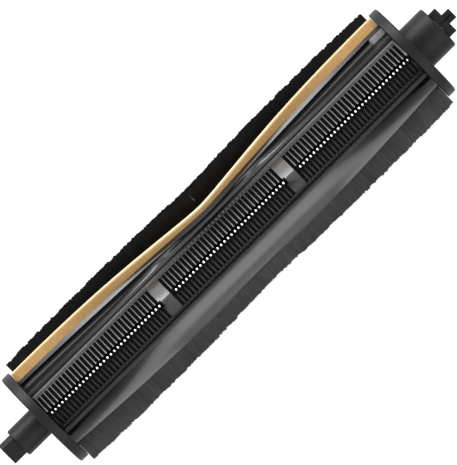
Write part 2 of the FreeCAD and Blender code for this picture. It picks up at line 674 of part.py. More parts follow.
def make_carrier(name, turn):
    """A bar under the comb that holds the sliding blade and carries the pin that follows the cam."""
    body = new_body(name)
    floor = "(sizes.slot_floor + sizes.carrier_lift)"
    low = "(-sizes.blade_offset - sizes.carrier_width / 2)"
    high = "(-sizes.blade_offset + sizes.carrier_width / 2)"
    blade_low = "(-sizes.blade_offset - sizes.blade_thickness / 2)"
    blade_high = "(-sizes.blade_offset + sizes.blade_thickness / 2)"
    section = [
        (low, floor),
        (high, floor),
        (high, "sizes.carrier_top"),
        (blade_high, "sizes.carrier_top"),
        (blade_high, "sizes.sliding_bottom"),
        (blade_low, "sizes.sliding_bottom"),
        (blade_low, "sizes.carrier_top"),
        (low, "sizes.carrier_top"),
    ]
    sketch = polygon_sketch(body, name + "_section", "YZ_Plane", [section])
    pad(body, name + "_bar", sketch, f"2 * {SLIDE_HALF}", symmetric=True)
    circle = body.newObject("Sketcher::SketchObject", name + "_pin_circle")
    circle.AttachmentSupport = [(plane_of(body, "XY_Plane"), "")]
    circle.MapMode = "FlatFace"
    circle.setExpression("AttachmentOffset.Base.z", "sizes.cam_radius + sizes.pin_gap")
    centre = Vector(size(CAM_X), 0, 0)
    circle.addGeometry(Part.Circle(centre, Vector(0, 0, 1), size("sizes.pin_radius")), False)
    circle.addConstraint(Sketcher.Constraint("PointOnObject", 0, 3, -1))
    place = circle.addConstraint(Sketcher.Constraint("DistanceX", 0, 3, centre.x))
    circle.setExpression(f"Constraints[{place}]", CAM_X)
    radius = circle.addConstraint(Sketcher.Constraint("Radius", 0, size("sizes.pin_radius")))
    circle.setExpression(f"Constraints[{radius}]", "sizes.pin_radius")
    pad(body, name + "_pin", circle, "sizes.sliding_bottom - sizes.cam_radius - sizes.pin_gap")
    finish(body, name, turn)


# End caps

def make_drive_cap():
    body = new_body("drive_cap")
    inner = f"-{HALF_GAP}"
    outer = f"(-{HALF_GAP} - sizes.flange_thickness)"
    journal_end = f"({outer} - sizes.journal_length)"
    spigot_end = f"(-{HALF_GAP} + sizes.drive_spigot_length)"
    spigot = "(sizes.bore_radius - sizes.spigot_clearance)"
    breaks = "sizes.edge_break"
    revolve(body, "drive_cap_turned", [
        (spigot_end, "0"),
        (spigot_end, spigot),
        (inner, spigot),
        (inner, "sizes.flange_radius"),
        (f"{outer} + {breaks}", "sizes.flange_radius"),
        (outer, f"sizes.flange_radius - {breaks}"),
        (outer, "sizes.journal_radius"),
        (f"{journal_end} + {breaks}", "sizes.journal_radius"),
        (journal_end, f"sizes.journal_radius - {breaks}"),
        (journal_end, "0"),
    ])
    half = "(sizes.square_flats / 2)"
    flat = f"({half} - sizes.square_corner)"
    square = [
        (half, f"-{flat}"),
        (half, flat),
        (flat, half),
        (f"-{flat}", half),
        (f"-{half}", flat),
        (f"-{half}", f"-{flat}"),
        (f"-{flat}", f"-{half}"),
        (flat, f"-{half}"),
    ]
    sketch = polygon_sketch(body, "drive_square", "YZ_Plane", [square], journal_end)
    pad(body, "drive_square_pad", sketch, "sizes.square_length", backwards=True)
    key = f"({spigot} + sizes.key_height)"
    width = "(sizes.key_width / 2)"
    keys = [(f"-{key}", f"-{width}"), (key, f"-{width}"), (key, width), (f"-{key}", width)]
    key_sketch = polygon_sketch(body, "drive_keys", "YZ_Plane", [keys], inner)
    pad(body, "drive_key_pad", key_sketch, "sizes.drive_spigot_length")
    finish(body, "drive_cap")


def make_bearing_cap():
    body = new_body("bearing_cap")
    inner = HALF_GAP
    outer = f"({HALF_GAP} + sizes.flange_thickness)"
    housing_end = f"({outer} + sizes.housing_length)"
    spigot_end = f"({HALF_GAP} - sizes.axle_spigot_length)"
    seat_start = f"({housing_end} - sizes.seat_depth)"
    spigot = "(sizes.bore_radius - sizes.spigot_clearance)"
    passage = "(sizes.axle_radius + sizes.passage_clearance)"
    breaks = "sizes.edge_break"
    revolve(body, "bearing_cap_turned", [
        (spigot_end, passage),
        (spigot_end, spigot),
        (inner, spigot),
        (inner, "sizes.flange_radius"),
        (f"{outer} - {breaks}", "sizes.flange_radius"),
        (outer, f"sizes.flange_radius - {breaks}"),
        (outer, "sizes.housing_radius"),
        (f"{housing_end} - {breaks}", "sizes.housing_radius"),
        (housing_end, f"sizes.housing_radius - {breaks}"),
        (housing_end, "sizes.bush_radius"),
        (seat_start, "sizes.bush_radius"),
        (seat_start, passage),
    ])
    finish(body, "bearing_cap")


def make_bearing():
    housing_end = f"({HALF_GAP} + sizes.flange_thickness + sizes.housing_length)"
    seat_start = f"({housing_end} - sizes.seat_depth)"
    bush_end = f"({seat_start} + sizes.bush_length)"
    inside = "(sizes.axle_radius + sizes.axle_clearance)"
    bush = new_body("axle_bush")
    revolve(bush, "axle_bush_turned", [
        (seat_start, inside),
        (bush_end, inside),
        (bush_end, "sizes.bush_radius"),
        (seat_start, "sizes.bush_radius"),
    ])
    finish(bush, "axle_bush")


# Axle

HEAD_START = f"({HALF_GAP} + sizes.flange_thickness + sizes.housing_length + sizes.axle_gap)"
CAM_START = f"({CAM_X} - sizes.cam_length / 2)"
CAM_END = f"({CAM_X} + sizes.cam_length / 2)"


def make_axle():
    body = new_body("axle_shaft")
    clip_start = f"({CAM_START} - sizes.clip_thickness)"
    tail = f"({clip_start} - sizes.axle_tail)"
    tip = f"({HEAD_START} + sizes.head_socket_depth)"
    radius = "sizes.axle_radius"
    revolve(body, "axle_shaft_turned", [
        (tail, "0"),
        (tail, radius),
        (clip_start, radius),
        (clip_start, "sizes.clip_groove_radius"),
        (CAM_START, "sizes.clip_groove_radius"),
        (CAM_START, radius),
        (tip, radius),
        (tip, "0"),
    ])
    finish(body, "axle_shaft")

    disc = rod("clip_disc", "sizes.clip_radius", clip_start, CAM_START)
    ends = (f"{clip_start} - sizes.overrun", f"{CAM_START} + sizes.overrun")
    seat = rod("clip_seat", "sizes.clip_groove_radius", *ends)
    half = "sizes.clip_opening / 2"
    mouth = box("clip_mouth", *ends, f"-{half}", half, "0", "sizes.clip_radius + sizes.overrun")
    finish(cut("clip", disc, [seat, mouth]), "retaining_clip")


def make_cam():
    drum = rod("drum", "sizes.cam_radius", CAM_START, CAM_END)
    ends = (f"{CAM_START} - sizes.overrun", f"{CAM_END} + sizes.overrun")
    shaft_hole = rod("drum_hole", "sizes.axle_radius", *ends)
    groove = doc.addObject("Part::Feature", "drum_groove")
    inner = size("sizes.cam_radius - sizes.cam_groove_depth")
    outer = size("sizes.cam_radius + sizes.overrun")
    width = size("sizes.cam_groove_width")
    lean = math.degrees(math.asin(size("sizes.slide_stroke / sizes.cam_radius")))
    start = Vector(-width / 2, 0, 0)
    ring = Part.makeCylinder(outer, width, start, Vector(1, 0, 0))
    ring = ring.cut(Part.makeCylinder(inner, width, start, Vector(1, 0, 0)))
    ring.rotate(Vector(0, 0, 0), Vector(0, 0, 1), lean)
    ring.translate(Vector(size(CAM_X), 0, 0))
    groove.Shape = ring
    finish(cut("cam", drum, [shaft_hole, groove]), "cam_drum")


def make_head():
    body = new_body("axle_head")
    boss_end = f"({HEAD_START} + sizes.boss_length)"
    stub_end = f"({boss_end} + sizes.stub_length)"

    def square(width):
        half = f"({width} / 2)"
        return [(half, f"-{half}"), (half, half), (f"-{half}", half), (f"-{half}", f"-{half}")]

    boss = polygon_sketch(body, "head_boss", "YZ_Plane", [square("sizes.boss_width")], HEAD_START)
    pad(body, "head_boss_pad", boss, "sizes.boss_length")
    stub = polygon_sketch(body, "head_stub", "YZ_Plane", [square("sizes.stub_width")], boss_end)
    pad(body, "head_stub_pad", stub, "sizes.stub_length")
    half = "(sizes.split_width / 2)"
    start = f"({HEAD_START} + sizes.split_start)"
    grooves = [
        ("boss", start, boss_end, "sizes.boss_width"),
        ("stub", boss_end, stub_end, "sizes.stub_width"),
    ]
    for side, sign, backwards in (("front", "", False), ("back", "-", True)):
        for step, x_from, x_to, width in grooves:
            line = [(x_from, f"-{half}"), (x_to, f"-{half}"), (x_to, half), (x_from, half)]
            face = f"{sign}({width} / 2)"
            sketch = polygon_sketch(body, f"head_{side}_{step}_line", "XY_Plane", [line], face)
            pocket(body, f"head_{side}_{step}_groove", sketch, "sizes.split_depth", backwards)
    socket = body.newObject("Sketcher::SketchObject", "head_socket_circle")
    socket.AttachmentSupport = [(plane_of(body, "YZ_Plane"), "")]
    socket.MapMode = "FlatFace"
    socket.setExpression("AttachmentOffset.Base.z", HEAD_START)
    socket.addGeometry(Part.Circle(Vector(0, 0, 0), Vector(0, 0, 1), size("sizes.axle_radius")), False)
    socket.addConstraint(Sketcher.Constraint("Coincident", 0, 3, -1, 1))
    radius = socket.addConstraint(Sketcher.Constraint("Radius", 0, size("sizes.axle_radius")))
    socket.setExpression(f"Constraints[{radius}]", "sizes.axle_radius")
    pocket(body, "head_socket", socket, "sizes.head_socket_depth", backwards=True)
    finish(body, "axle_head")


make_core()
make_lock_tabs()
make_rows()
for side, turn in (("front", 0.0), ("back", 180.0)):
    make_comb("comb_" + side, turn)
    make_blade("sliding_blade_" + side, turn, SLIDE_HALF, "sizes.sliding_bottom", "sizes.sliding_tip",
               "sizes.blade_offset - sizes.blade_thickness / 2",
               ("sizes.sliding_tooth_depth", "sizes.tooth_root_width", "sizes.tooth_tip_width"),
               FIRST_TOOTH, TEETH)
    make_blade("fixed_blade_" + side, turn, FIXED_HALF, "sizes.fixed_bottom", "sizes.fixed_tip",
               f"-{FIXED_FACE}", ("sizes.fixed_tooth_depth", "sizes.tooth_pitch", None),
               f"({FIRST_TOOTH} + sizes.tooth_pitch / 2)", TEETH - 1)
    make_carrier("blade_carrier_" + side, turn)
make_drive_cap()
make_bearing_cap()
make_bearing()
make_axle()
make_cam()
make_head()

doc.recompute()

problems = []
for item in doc.Objects:
    if "Invalid" in item.State or "Error" in item.State:
        problems.append(f"{item.Label}: {item.State}")
for name, item in finished.items():
    shape = item.Shape
    if shape.isNull() or not shape.isValid() or shape.Volume <= 0:
        problems.append(f"{name}: not a valid solid")
if problems:
    raise RuntimeError("; ".join(problems))

for name, item in finished.items():
    item.Shape.exportStep(f"parts/{name}.step")
    extent = item.Shape.optimalBoundingBox()
    print(f"{name}: {len(item.Shape.Solids)} solid, {item.Shape.Volume:.1f} mm3, "
          f"x {extent.XMin:.2f} to {extent.XMax:.2f}, y {extent.YMin:.2f} to {extent.YMax:.2f}, "
          f"z {extent.ZMin:.2f} to {extent.ZMax:.2f}")
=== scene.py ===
import math
import random

import bmesh
import bpy
from bpy.props import FloatProperty, FloatVectorProperty, IntProperty, PointerProperty
from mathutils import Matrix, Vector


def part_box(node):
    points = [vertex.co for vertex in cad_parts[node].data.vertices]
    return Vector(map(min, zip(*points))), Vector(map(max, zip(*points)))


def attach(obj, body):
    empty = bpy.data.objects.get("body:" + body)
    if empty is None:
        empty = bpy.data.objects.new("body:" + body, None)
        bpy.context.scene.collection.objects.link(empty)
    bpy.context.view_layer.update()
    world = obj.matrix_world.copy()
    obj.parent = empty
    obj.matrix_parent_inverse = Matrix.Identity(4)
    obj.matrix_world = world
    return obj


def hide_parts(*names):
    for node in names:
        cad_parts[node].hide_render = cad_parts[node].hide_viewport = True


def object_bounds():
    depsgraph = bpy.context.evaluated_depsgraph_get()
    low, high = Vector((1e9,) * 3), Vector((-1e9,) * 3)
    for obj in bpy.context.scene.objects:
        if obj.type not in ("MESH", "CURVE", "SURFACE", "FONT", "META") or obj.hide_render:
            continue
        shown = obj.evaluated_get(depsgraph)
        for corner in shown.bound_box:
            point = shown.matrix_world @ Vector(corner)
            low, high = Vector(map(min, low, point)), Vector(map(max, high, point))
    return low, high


bl_info = {
    "name": "Cleaning Roller",
    "version": (1, 0, 0),
    "blender": (4, 5, 0),
    "location": "3D View > Sidebar > Cleaning Roller",
    "description": "Dresses the packed cleaning roller with bristles, plastic, rubber, steel and a studio",
    "category": "Object",
}

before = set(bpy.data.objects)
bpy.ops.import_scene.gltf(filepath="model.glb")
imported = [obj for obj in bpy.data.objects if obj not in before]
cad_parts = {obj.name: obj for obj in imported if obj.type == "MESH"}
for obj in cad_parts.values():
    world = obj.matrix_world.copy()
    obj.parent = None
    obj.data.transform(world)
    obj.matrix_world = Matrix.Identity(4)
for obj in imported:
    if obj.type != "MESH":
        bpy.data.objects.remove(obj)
CAD_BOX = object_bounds()

MM = 0.001
ROWS = ("upper", "lower")
SIDES = ("left", "right")
FACES = ("front", "back")
HALF_TURN = math.pi
WHITE = (1.0, 1.0, 1.0, 1.0)

# The attribute that says how far each vertex shows its piece's painted light: painted shade on the core and the
# combs, a painted highlight on the strips.
PAINTED_LIGHT_MARKS = "marked"

# The upper row's frame turns about the axis along the roller, as the V does.
CORE_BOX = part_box("core_body")
MIDDLE_X = (CORE_BOX[0].x + CORE_BOX[1].x) / 2
HALF_LENGTH = (CORE_BOX[1].x - CORE_BOX[0].x) / 2
ROW_ANGLE_MIDDLE = math.radians(69.5)
ROW_ANGLE_END = math.radians(106.3)
BEND_SOFTNESS = 3.5 * MM

# Bars that follow the V are swept through this many stations, crowded towards the bend.
STATIONS = 120
STATION_CROWDING = 1.3
STATION_MARGIN = 0.3 * MM

# Humps along an arm: the share of the way from the middle to the flange, and the hump's width there.
MID_ARM = (0.27, 0.16)
INNER_ARM = (0.16, 0.09)

# Ramps along an arm: where each starts, and its length, as shares of the same way.
MIDDLE_RAMP = (0.0, 0.45)
OUTER_RAMP = (0.5, 0.5)
FOOT_RAMP = (0.32, 0.42)
LIP_RAMP = (0.45, 0.3)
LEDGE_RAMP = (0.5, 0.3)
STRIP_RAMP = (0.0, 0.75)
HIGHLIGHT_RAMP = (0.0, 0.5)

# The core beside a comb, as y and z in mm: the ledge next to the channel and the one under the shoulder.
CHANNEL_LEDGE = ((8.1, 5.75), (8.1, 7.05), (9.0, 7.05))
SHOULDER_LEDGE = ((9.0, -7.05), (8.1, -7.05), (8.1, -5.75))

# Corners of an arm in the row's frame, across and out, in mm.
FLANK = (4.2, 11.6)
FLANK_FILLING = (0.75, 0.35)
LIP_ROOT = (4.27, 13.8)
BACK_EDGE = (-4.68, 15.3)
ARM_CROWN = (LIP_ROOT, (3.446, 11.760), (2.584, 12.109), (3.342, 13.984), (1.45, 14.36),
             (1.45, 12.85), (-3.55, 12.85), (-3.55, 15.35), (-4.03, 15.45))

# The lip in front of the strip: its width in mm, its lean, and how much more it leans at mid arm, in degrees.
LIP_WIDTH = 1.58
LIP_LEAN = 28.4
LIP_OPENING = 15.0

# The slope in which the channel leaves its ledge, and how much it rises at mid arm and where it is filled.
CHANNEL_SLOPE = -60.0
CHANNEL_OPENING = 32.0
CHANNEL_FILLING = 45.0

# How far the shoulder's two ends turn from its chord, in degrees: everywhere, in the middle, further out.
FOOT_TURN = (-16.0, -22.0, -10.0)
EDGE_TURN = (4.0, 26.4, 26.0)

# Smooth curves across the core: how far each end's direction pulls, as shares of the chord.
CHANNEL_PULLS = (0.38, 0.42)
SHOULDER_PULLS = (0.48, 0.36)
CURVE_PARTS = 14

# The strips: their lean, how much more they lean in the middle, and their corners along and behind the face.
STRIP_LEAN = math.radians(22.0)
STRIP_BEND = math.radians(25.0)
STRIP_CORNERS = ((-2.2, 0.03), (0.0, 0.03), (0.4, 0.03), (2.6, 0.03), (3.25, 0.03), (3.6, 0.38), (3.6, 0.9),
                 (0.4, 0.9), (0.0, 0.9), (-2.2, 0.9))
# The corners of the strip's free edge, which get a painted highlight for the light the edge catches, and how much
# of that highlight fades away towards the flanges.
STRIP_FREE_CORNERS = (4, 5, 6)
HIGHLIGHT_FADING = 0.6

# Painted shade on the core: the parts of the channel that shine without it, at least and more at mid arm and on
# the inner arm, and the parts over which the shade sets in; then the lip, the ledge, and how fast the shoulder's
# foot and edge fade.
UNSHADED_PARTS = (2.5, 8.0, 8.0)
SHADE_FADE = 2
LIP_SHADE = (0.12, 0.75)
LEDGE_SHADE = 0.65
FOOT_FADE = 0.9
EDGE_FADE = 4

# How much painted shade a comb has up to each place across it, in mm.
COMB_SHADE = ((-7.4, 0.0), (-2.0, 0.65), (-0.2, 1.0), (2.0, 0.3))

# Corners of a comb that move: their place across it, the height they lie above, and the move, all in mm. The
# rails' tops slope down, and the fins are cut back below the teeth.
COMB_MOVES = (
    (7.8, 7.0, (0.0, -0.62)),
    (-7.05, 7.0, (0.0, -1.0)),
    (-0.9, 14.6, (-0.85, -0.685)),
    (-0.9, 13.0, (-0.85, -1.04)),
)
COMB_TOLERANCE = 0.02

# The steel teeth's tips stand in the slit along the comb's crest.
TOOTH_PITCH = 1.6 * MM
TEETH = 32
SECTIONS = 3
SECTION_PITCH = 57.36 * MM
NIB_SINK = 0.1 * MM

# Tufts: the kinds that a row is made of, and how its filaments differ.
TUFT_KINDS = 7
CLUMP_SHARE = 0.7
LOOSE_SHARE = 0.3
ROOT_FILLING = 0.94
TIP_RADIUS_SHARE = 0.3
TIP_SPREAD_ACROSS = 0.02
TIP_SPREAD_ALONG = 0.05

# The dark backing inside a row lies this far within it.
BACKING_MARGIN = 0.35 * MM
BACKING_TIP_MARGIN = 1.3 * MM
BACKING_SINK = 0.1 * MM
BACKING_CUTS = 60

# Meshes: how near points are joined, and the turns up to which an edge is flat or smooth, and past which rounded.
WELD = 0.002 * MM
FLAT = math.radians(0.6)
SMOOTH_ANGLE = math.radians(34)
SHARP_ANGLE = math.radians(28)
CORE_SHARP_ANGLE = math.radians(12)
BORE_SEGMENTS = 64

# Studio: each soft box's width and height, and where it stands.
FLOOR_SIZE = 3.0
KEY_BOX = ((1.1, 0.35), (0.0, 0.658, 0.293))
FILL_BOX = ((1.1, 0.64), (0.0, -0.511, 0.507))


# Settings

def length(name, description, default, low=0.0, high=1.0):
    """A length in metres."""
    return FloatProperty(name=name, description=description, default=default, min=low, max=high,
                         subtype="DISTANCE", unit="LENGTH", precision=5)


def share(name, description, default):
    """A number from 0 to 1."""
    return FloatProperty(name=name, description=description, default=default, min=0.0, max=1.0,
                         subtype="FACTOR")


def colour(name, description, default):
    """A colour, linear."""
    return FloatVectorProperty(name=name, description=description, default=default, size=3,
                               min=0.0, max=1.0, subtype="COLOR")


class BristleSettings(bpy.types.PropertyGroup):
    tuft_pitch: length("Tuft pitch", "Distance between the tufts of a row", 1.7 * MM)
    filaments: IntProperty(name="Filaments", description="Filaments in a tuft", default=290, min=10, max=400)
    filament_width: length("Filament width", "Thickness of a filament at its root", 0.17 * MM)
    root_width: length("Root width", "Width of a row at its root", 4.3 * MM)
    root_across: length("Root offset", "Middle of a row's root, across", -1.05 * MM, -1.0)
    root_radius: length("Root radius", "Distance of the filaments' roots from the axis", 13.6 * MM)
    tip_width: length("Tip width", "Width of a row at its tips", 3.4 * MM)
    tip_radius: length("Tip radius", "Distance of the longest tips from the axis", 22.08 * MM)
    raggedness: length("Raggedness", "Spread of the filaments' lengths", 0.5 * MM)
    tuft_raggedness: length("Tuft raggedness", "Spread of the tufts' lengths", 0.3 * MM)
    # Painted light: both rows are the same black nylon; the upper row's colour is painted darker as shade and the
    # lower row's lighter as lit, with their gloss set apart to match.
    upper_shaded_colour: colour("Upper colour", "Colour of the upper row", (0.006, 0.006, 0.0065))
    lower_lit_colour: colour("Lower colour", "Colour of the lower row", (0.135, 0.135, 0.138))
    upper_gloss: share("Upper gloss", "Strength of the upper row's reflections", 0.1)
    lower_gloss: share("Lower gloss", "Strength of the lower row's reflections", 0.3)
    upper_end_gap: length("Upper end gap", "Distance of the upper row from the flanges", 1.3 * MM)
    lower_end_gap: length("Lower end gap", "Distance of the lower row from the flanges", 0.4 * MM)
    middle_gap: length("Middle gap", "Gap between the halves of a row", 0.06 * MM)


class PlasticSettings(bpy.types.PropertyGroup):
    core_colour: colour("Core colour", "Colour of the core", (0.014, 0.014, 0.015))
    # Painted shade: the darker colour that the core's seats, channels, lip and shoulders and the combs' crest and
    # lower side fade to.
    painted_shade_colour: colour("Recess colour", "Colour of dull channels, seats and crests", (0.01, 0.01, 0.01))
    comb_colour: colour("Comb colour", "Colour of the combs", (0.032, 0.032, 0.033))
    cap_colour: colour("Cap colour", "Colour of the end caps and the axle head", (0.009, 0.009, 0.0094))
    # Painted light: the lock tabs' light grey stands in for the light falling on their upward faces.
    tab_lit_colour: colour("Tab colour", "Colour of the lock tabs", (0.25, 0.247, 0.243))
    # Painted shade: the carriers are near black, with weak reflections, so that the slit along the crest looks as
    # dark as its shade.
    carrier_colour: colour("Carrier colour", "Colour of the blade carriers", (0.01, 0.01, 0.01))
    cam_colour: colour("Cam colour", "Colour of the cam drum", (0.6, 0.59, 0.55))
    core_roughness: share("Core roughness", "Roughness of the core", 0.36)
    comb_roughness: share("Comb roughness", "Roughness of the combs", 0.26)
    cap_roughness: share("Cap roughness", "Roughness of the caps", 0.44)
    recess_roughness: share("Recess roughness", "Roughness of the core's dull parts", 0.26)
    crest_roughness: share("Crest roughness", "Roughness of the combs' dull parts", 0.5)
    inner_roughness: share("Inner roughness", "Roughness of the carriers and the cam", 0.5)
    core_gloss: share("Core gloss", "Strength of the core's reflections", 0.85)
    comb_gloss: share("Comb gloss", "Strength of the combs' reflections", 1.0)
    cap_gloss: share("Cap gloss", "Strength of the caps' reflections", 0.16)
    dull_gloss: share("Dull gloss", "Strength of the reflections of dull parts and the carriers", 0.12)
    bore_radius: length("Bore radius", "Radius of the core's bore", 4.9 * MM)
    edge_radius: length("Edge radius", "Rounding of the moulded edges", 0.14 * MM)
    comb_edge_radius: length("Comb edge radius", "Rounding of the comb's fins", 0.1 * MM)


class RubberSettings(bpy.types.PropertyGroup):
    strip_colour: colour("Strip colour", "Colour of the rubber strips", (0.52, 0.27, 0.075))
    strip_light_colour: colour("Light colour", "Lighter tone in the strips", (0.78, 0.5, 0.215))
    # Painted highlight: the paler colour along the strips' free edges stands in for the light they catch.
    strip_highlight_colour: colour("Edge colour", "Colour of the strips' free edges", (0.84, 0.66, 0.44))
    strip_edge_radius: length("Edge radius", "Rounding of the strips' edges", 0.12 * MM)


class MetalSettings(bpy.types.PropertyGroup):
    steel_colour: colour("Steel colour", "Colour of the axle", (0.75, 0.75, 0.76))
    # Painted shade: the blades are near black so that the comb's gaps and slit look as dark as their shade.
    blade_shade_colour: colour("Blade colour", "Colour of the blackened blades", (0.012, 0.012, 0.013))
    nib_colour: colour("Nib colour", "Colour of the polished tooth tips", (0.94, 0.94, 0.95))
    bush_colour: colour("Bush colour", "Colour of the bronze bush", (0.55, 0.36, 0.16))
    steel_roughness: share("Steel roughness", "Roughness of the axle", 0.28)
    blade_roughness: share("Blade roughness", "Roughness of the blades", 0.45)
    nib_roughness: share("Nib roughness", "Roughness of the tooth tips", 0.3)
    bush_roughness: share("Bush roughness", "Roughness of the bush", 0.4)
    nib_radius: length("Nib radius", "Radius of the polished tip on each sliding tooth", 0.43 * MM)
    nib_offset: length("Nib offset", "Distance of the nibs from the teeth's middle, sideways", 0.2 * MM)


class StageSettings(bpy.types.PropertyGroup):
    camera_height: length("Camera height", "Distance of the camera from the axis", 3.2, 0.1, 10.0)
    camera_place: FloatVectorProperty(name="Camera place", description="Place of the camera, seen from above",
                                      default=(0.031 * MM, 0.586 * MM), size=2, unit="LENGTH", precision=6)
    camera_lens: FloatProperty(name="Lens", description="Focal length of the camera", default=751.2,
                               min=20.0, max=1000.0, unit="CAMERA")
    camera_turn: FloatProperty(name="Camera turn", description="Turn of the camera about its line of sight",
                               default=math.radians(-44.79), subtype="ANGLE", unit="ROTATION")
    floor_colour: colour("Floor colour", "Colour of the floor", (0.45, 0.45, 0.45))
    floor_glow: share("Floor glow", "How much lighter the floor looks to the camera", 0.76)
    world_level: FloatProperty(name="World level", description="Soft light from all round", default=0.12,
                               min=0.0, max=5.0)
    key_power: FloatProperty(name="Key power", description="Power of the light on the upper side",
                             default=13.4, min=0.0, max=100.0, unit="POWER")
    fill_power: FloatProperty(name="Fill power", description="Power of the light on the lower side",
                              default=4.95, min=0.0, max=100.0, unit="POWER")


# Mesh helpers

def new_object(name, bm, material):
    """Finish a bmesh as an object at the origin, smooth apart from its sharp edges."""
    for face in bm.faces:
        face.smooth = True
    for edge in bm.edges:
        edge.smooth = len(edge.link_faces) == 2 and edge.calc_face_angle(0.0) < SMOOTH_ANGLE
    mesh = bpy.data.meshes.new(name)
    bm.to_mesh(mesh)
    bm.free()
    piece = bpy.data.objects.new(name, mesh)
    bpy.context.scene.collection.objects.link(piece)
    mesh.materials.append(material)
    return piece


def weigh_normals(piece):
    """Keep the large faces flat beside their rounded edges."""
    weighted = piece.modifiers.new("flat faces", "WEIGHTED_NORMAL")
    weighted.keep_sharp = True
    return piece


def copy_of_node(node):
    """A bmesh of a CAD node with its loose triangles joined into whole faces."""
    bm = bmesh.new()
    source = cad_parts[node].data.copy()
    if "custom_normal" in source.attributes:
        source.attributes.remove(source.attributes["custom_normal"])
    bm.from_mesh(source)
    bpy.data.meshes.remove(source)
    bmesh.ops.remove_doubles(bm, verts=bm.verts[:], dist=WELD)
    bmesh.ops.dissolve_limit(bm, angle_limit=FLAT, use_dissolve_boundaries=False,
                             verts=bm.verts[:], edges=bm.edges[:], delimit=set())
    return bm


def round_edges(bm, radius, sharp_angle=SHARP_ANGLE, segments=2):
    """Round the edges that turn by more than an angle."""
    sharp = [edge for edge in bm.edges
             if len(edge.link_faces) == 2 and edge.calc_face_angle(0.0) > sharp_angle]
    bmesh.ops.bevel(bm, geom=sharp, offset=radius, offset_type="OFFSET", affect="EDGES", segments=segments,
                    profile=0.5, material=-1, clamp_overlap=True)
    return bm


def stand_for(piece, body, node):
    """Say which body a piece rides on and which node it stands for, by hiding that node."""
    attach(piece, body)
    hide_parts(node)


def rounded_node(node, material, radius, body):
    """A copy of a CAD node with rounded edges, which stands for it."""
    piece = weigh_normals(new_object(f"{node}_skin", round_edges(copy_of_node(node), radius), material))
    stand_for(piece, body, node)


def sweep_ring(corners_at, marks_at, stations):
    """A closed bar along the roller, whose outline and marks are worked out afresh at every station."""
    bm = bmesh.new()
    corner = bm.verts.layers.int.new("corner")
    mark = bm.verts.layers.float.new(PAINTED_LIGHT_MARKS)
    count = len(corners_at(stations[0]))
    ring = bmesh.ops.create_circle(bm, cap_ends=False, segments=count, radius=MM)["verts"]
    for number, vertex in enumerate(ring):
        vertex[corner] = number
    edges = bm.edges[:]
    for step, x in enumerate(stations):
        if step:
            grown = bmesh.ops.extrude_edge_only(bm, edges=edges)["geom"]
            ring = [part for part in grown if isinstance(part, bmesh.types.BMVert)]
            inside = set(ring)
            edges = [part for part in grown if isinstance(part, bmesh.types.BMEdge)
                     and inside.issuperset(part.verts)]
        places = corners_at(x)
        marks = marks_at(x)
        for vertex in ring:
            vertex.co = places[vertex[corner]]
            vertex[mark] = marks[vertex[corner]]
    return bm


def open_ends(bm):
    """The loops of edges at the two ends of a bar."""
    rims = [edge for edge in bm.edges if edge.is_boundary]
    middle = sum(edge.verts[0].co.x for edge in rims) / len(rims)
    return ([edge for edge in rims if edge.verts[0].co.x < middle],
            [edge for edge in rims if edge.verts[0].co.x > middle])


def close_ends(bm):
    """Close a bar with a face at each end."""
    for rim in open_ends(bm):
        bmesh.ops.edgeloop_fill(bm, edges=rim)
    bmesh.ops.recalc_face_normals(bm, faces=bm.faces[:])
    return bm


def stations_between(x_from, x_to):
    """Places along the roller, closer together where the V bends."""
    places = []
    for number in range(STATIONS + 1):
        along = 2.0 * number / STATIONS - 1.0
        places.append(MIDDLE_X + math.copysign(abs(along) ** STATION_CROWDING, along) * HALF_LENGTH)
    inside = [x for x in places if x_from + STATION_MARGIN < x < x_to - STATION_MARGIN]
    return [x_from, *inside, x_to]


def share_of_twist(x):
    """0 at the middle of the roller and 1 at the flanges."""
    along = x - MIDDLE_X
    soft = math.hypot(along, BEND_SOFTNESS) - BEND_SOFTNESS
    return soft / (math.hypot(HALF_LENGTH, BEND_SOFTNESS) - BEND_SOFTNESS)


def clipped(value):
    """The value, kept between 0 and 1."""
    return max(0.0, min(1.0, value))


def ramp(twist, start, span):
    """0 up to a place on the arm, and 1 from a span beyond it."""
    return clipped((twist - start) / span)


def hump(twist, centre, width):
    """1 at a place on the arm, falling to 0 on both sides."""
    return math.exp(-((twist - centre) / width) ** 2)


def row_turn(x):
    """Turn that takes a straight row, standing up along Z, to its place in the upper row."""
    angle = ROW_ANGLE_MIDDLE + (ROW_ANGLE_END - ROW_ANGLE_MIDDLE) * share_of_twist(x)
    return Matrix.Rotation(-angle, 3, "X")


def row_point(x, across, out):
    """A point of the upper row's frame: across towards the strip's side, and out from the axis, in mm."""
    return row_turn(x) @ Vector((0.0, -across * MM, out * MM)) + Vector((x, 0.0, 0.0))


def slope(degrees):
    """A direction across the roller."""
    return Vector((0.0, math.cos(math.radians(degrees)), math.sin(math.radians(degrees))))


def curve_points(start, leave, end, arrive, pulls):
    """Points of a smooth curve from start to end, with given directions at both."""
    reach = (end - start).length
    first = start + leave * (pulls[0] * reach)
    last = end - arrive * (pulls[1] * reach)
    points = []
    for part in range(CURVE_PARTS + 1):
        t = part / CURVE_PARTS
        points.append(start * (1 - t) ** 3 + first * (3 * t * (1 - t) ** 2)
                      + last * (3 * t * t * (1 - t)) + end * t ** 3)
    return points


def shoulder_turn(twist, everywhere, middle, outer):
    """How far one end of the shoulder turns from its chord, in degrees."""
    return everywhere + middle * (1.0 - ramp(twist, *MIDDLE_RAMP)) + outer * ramp(twist, *OUTER_RAMP)


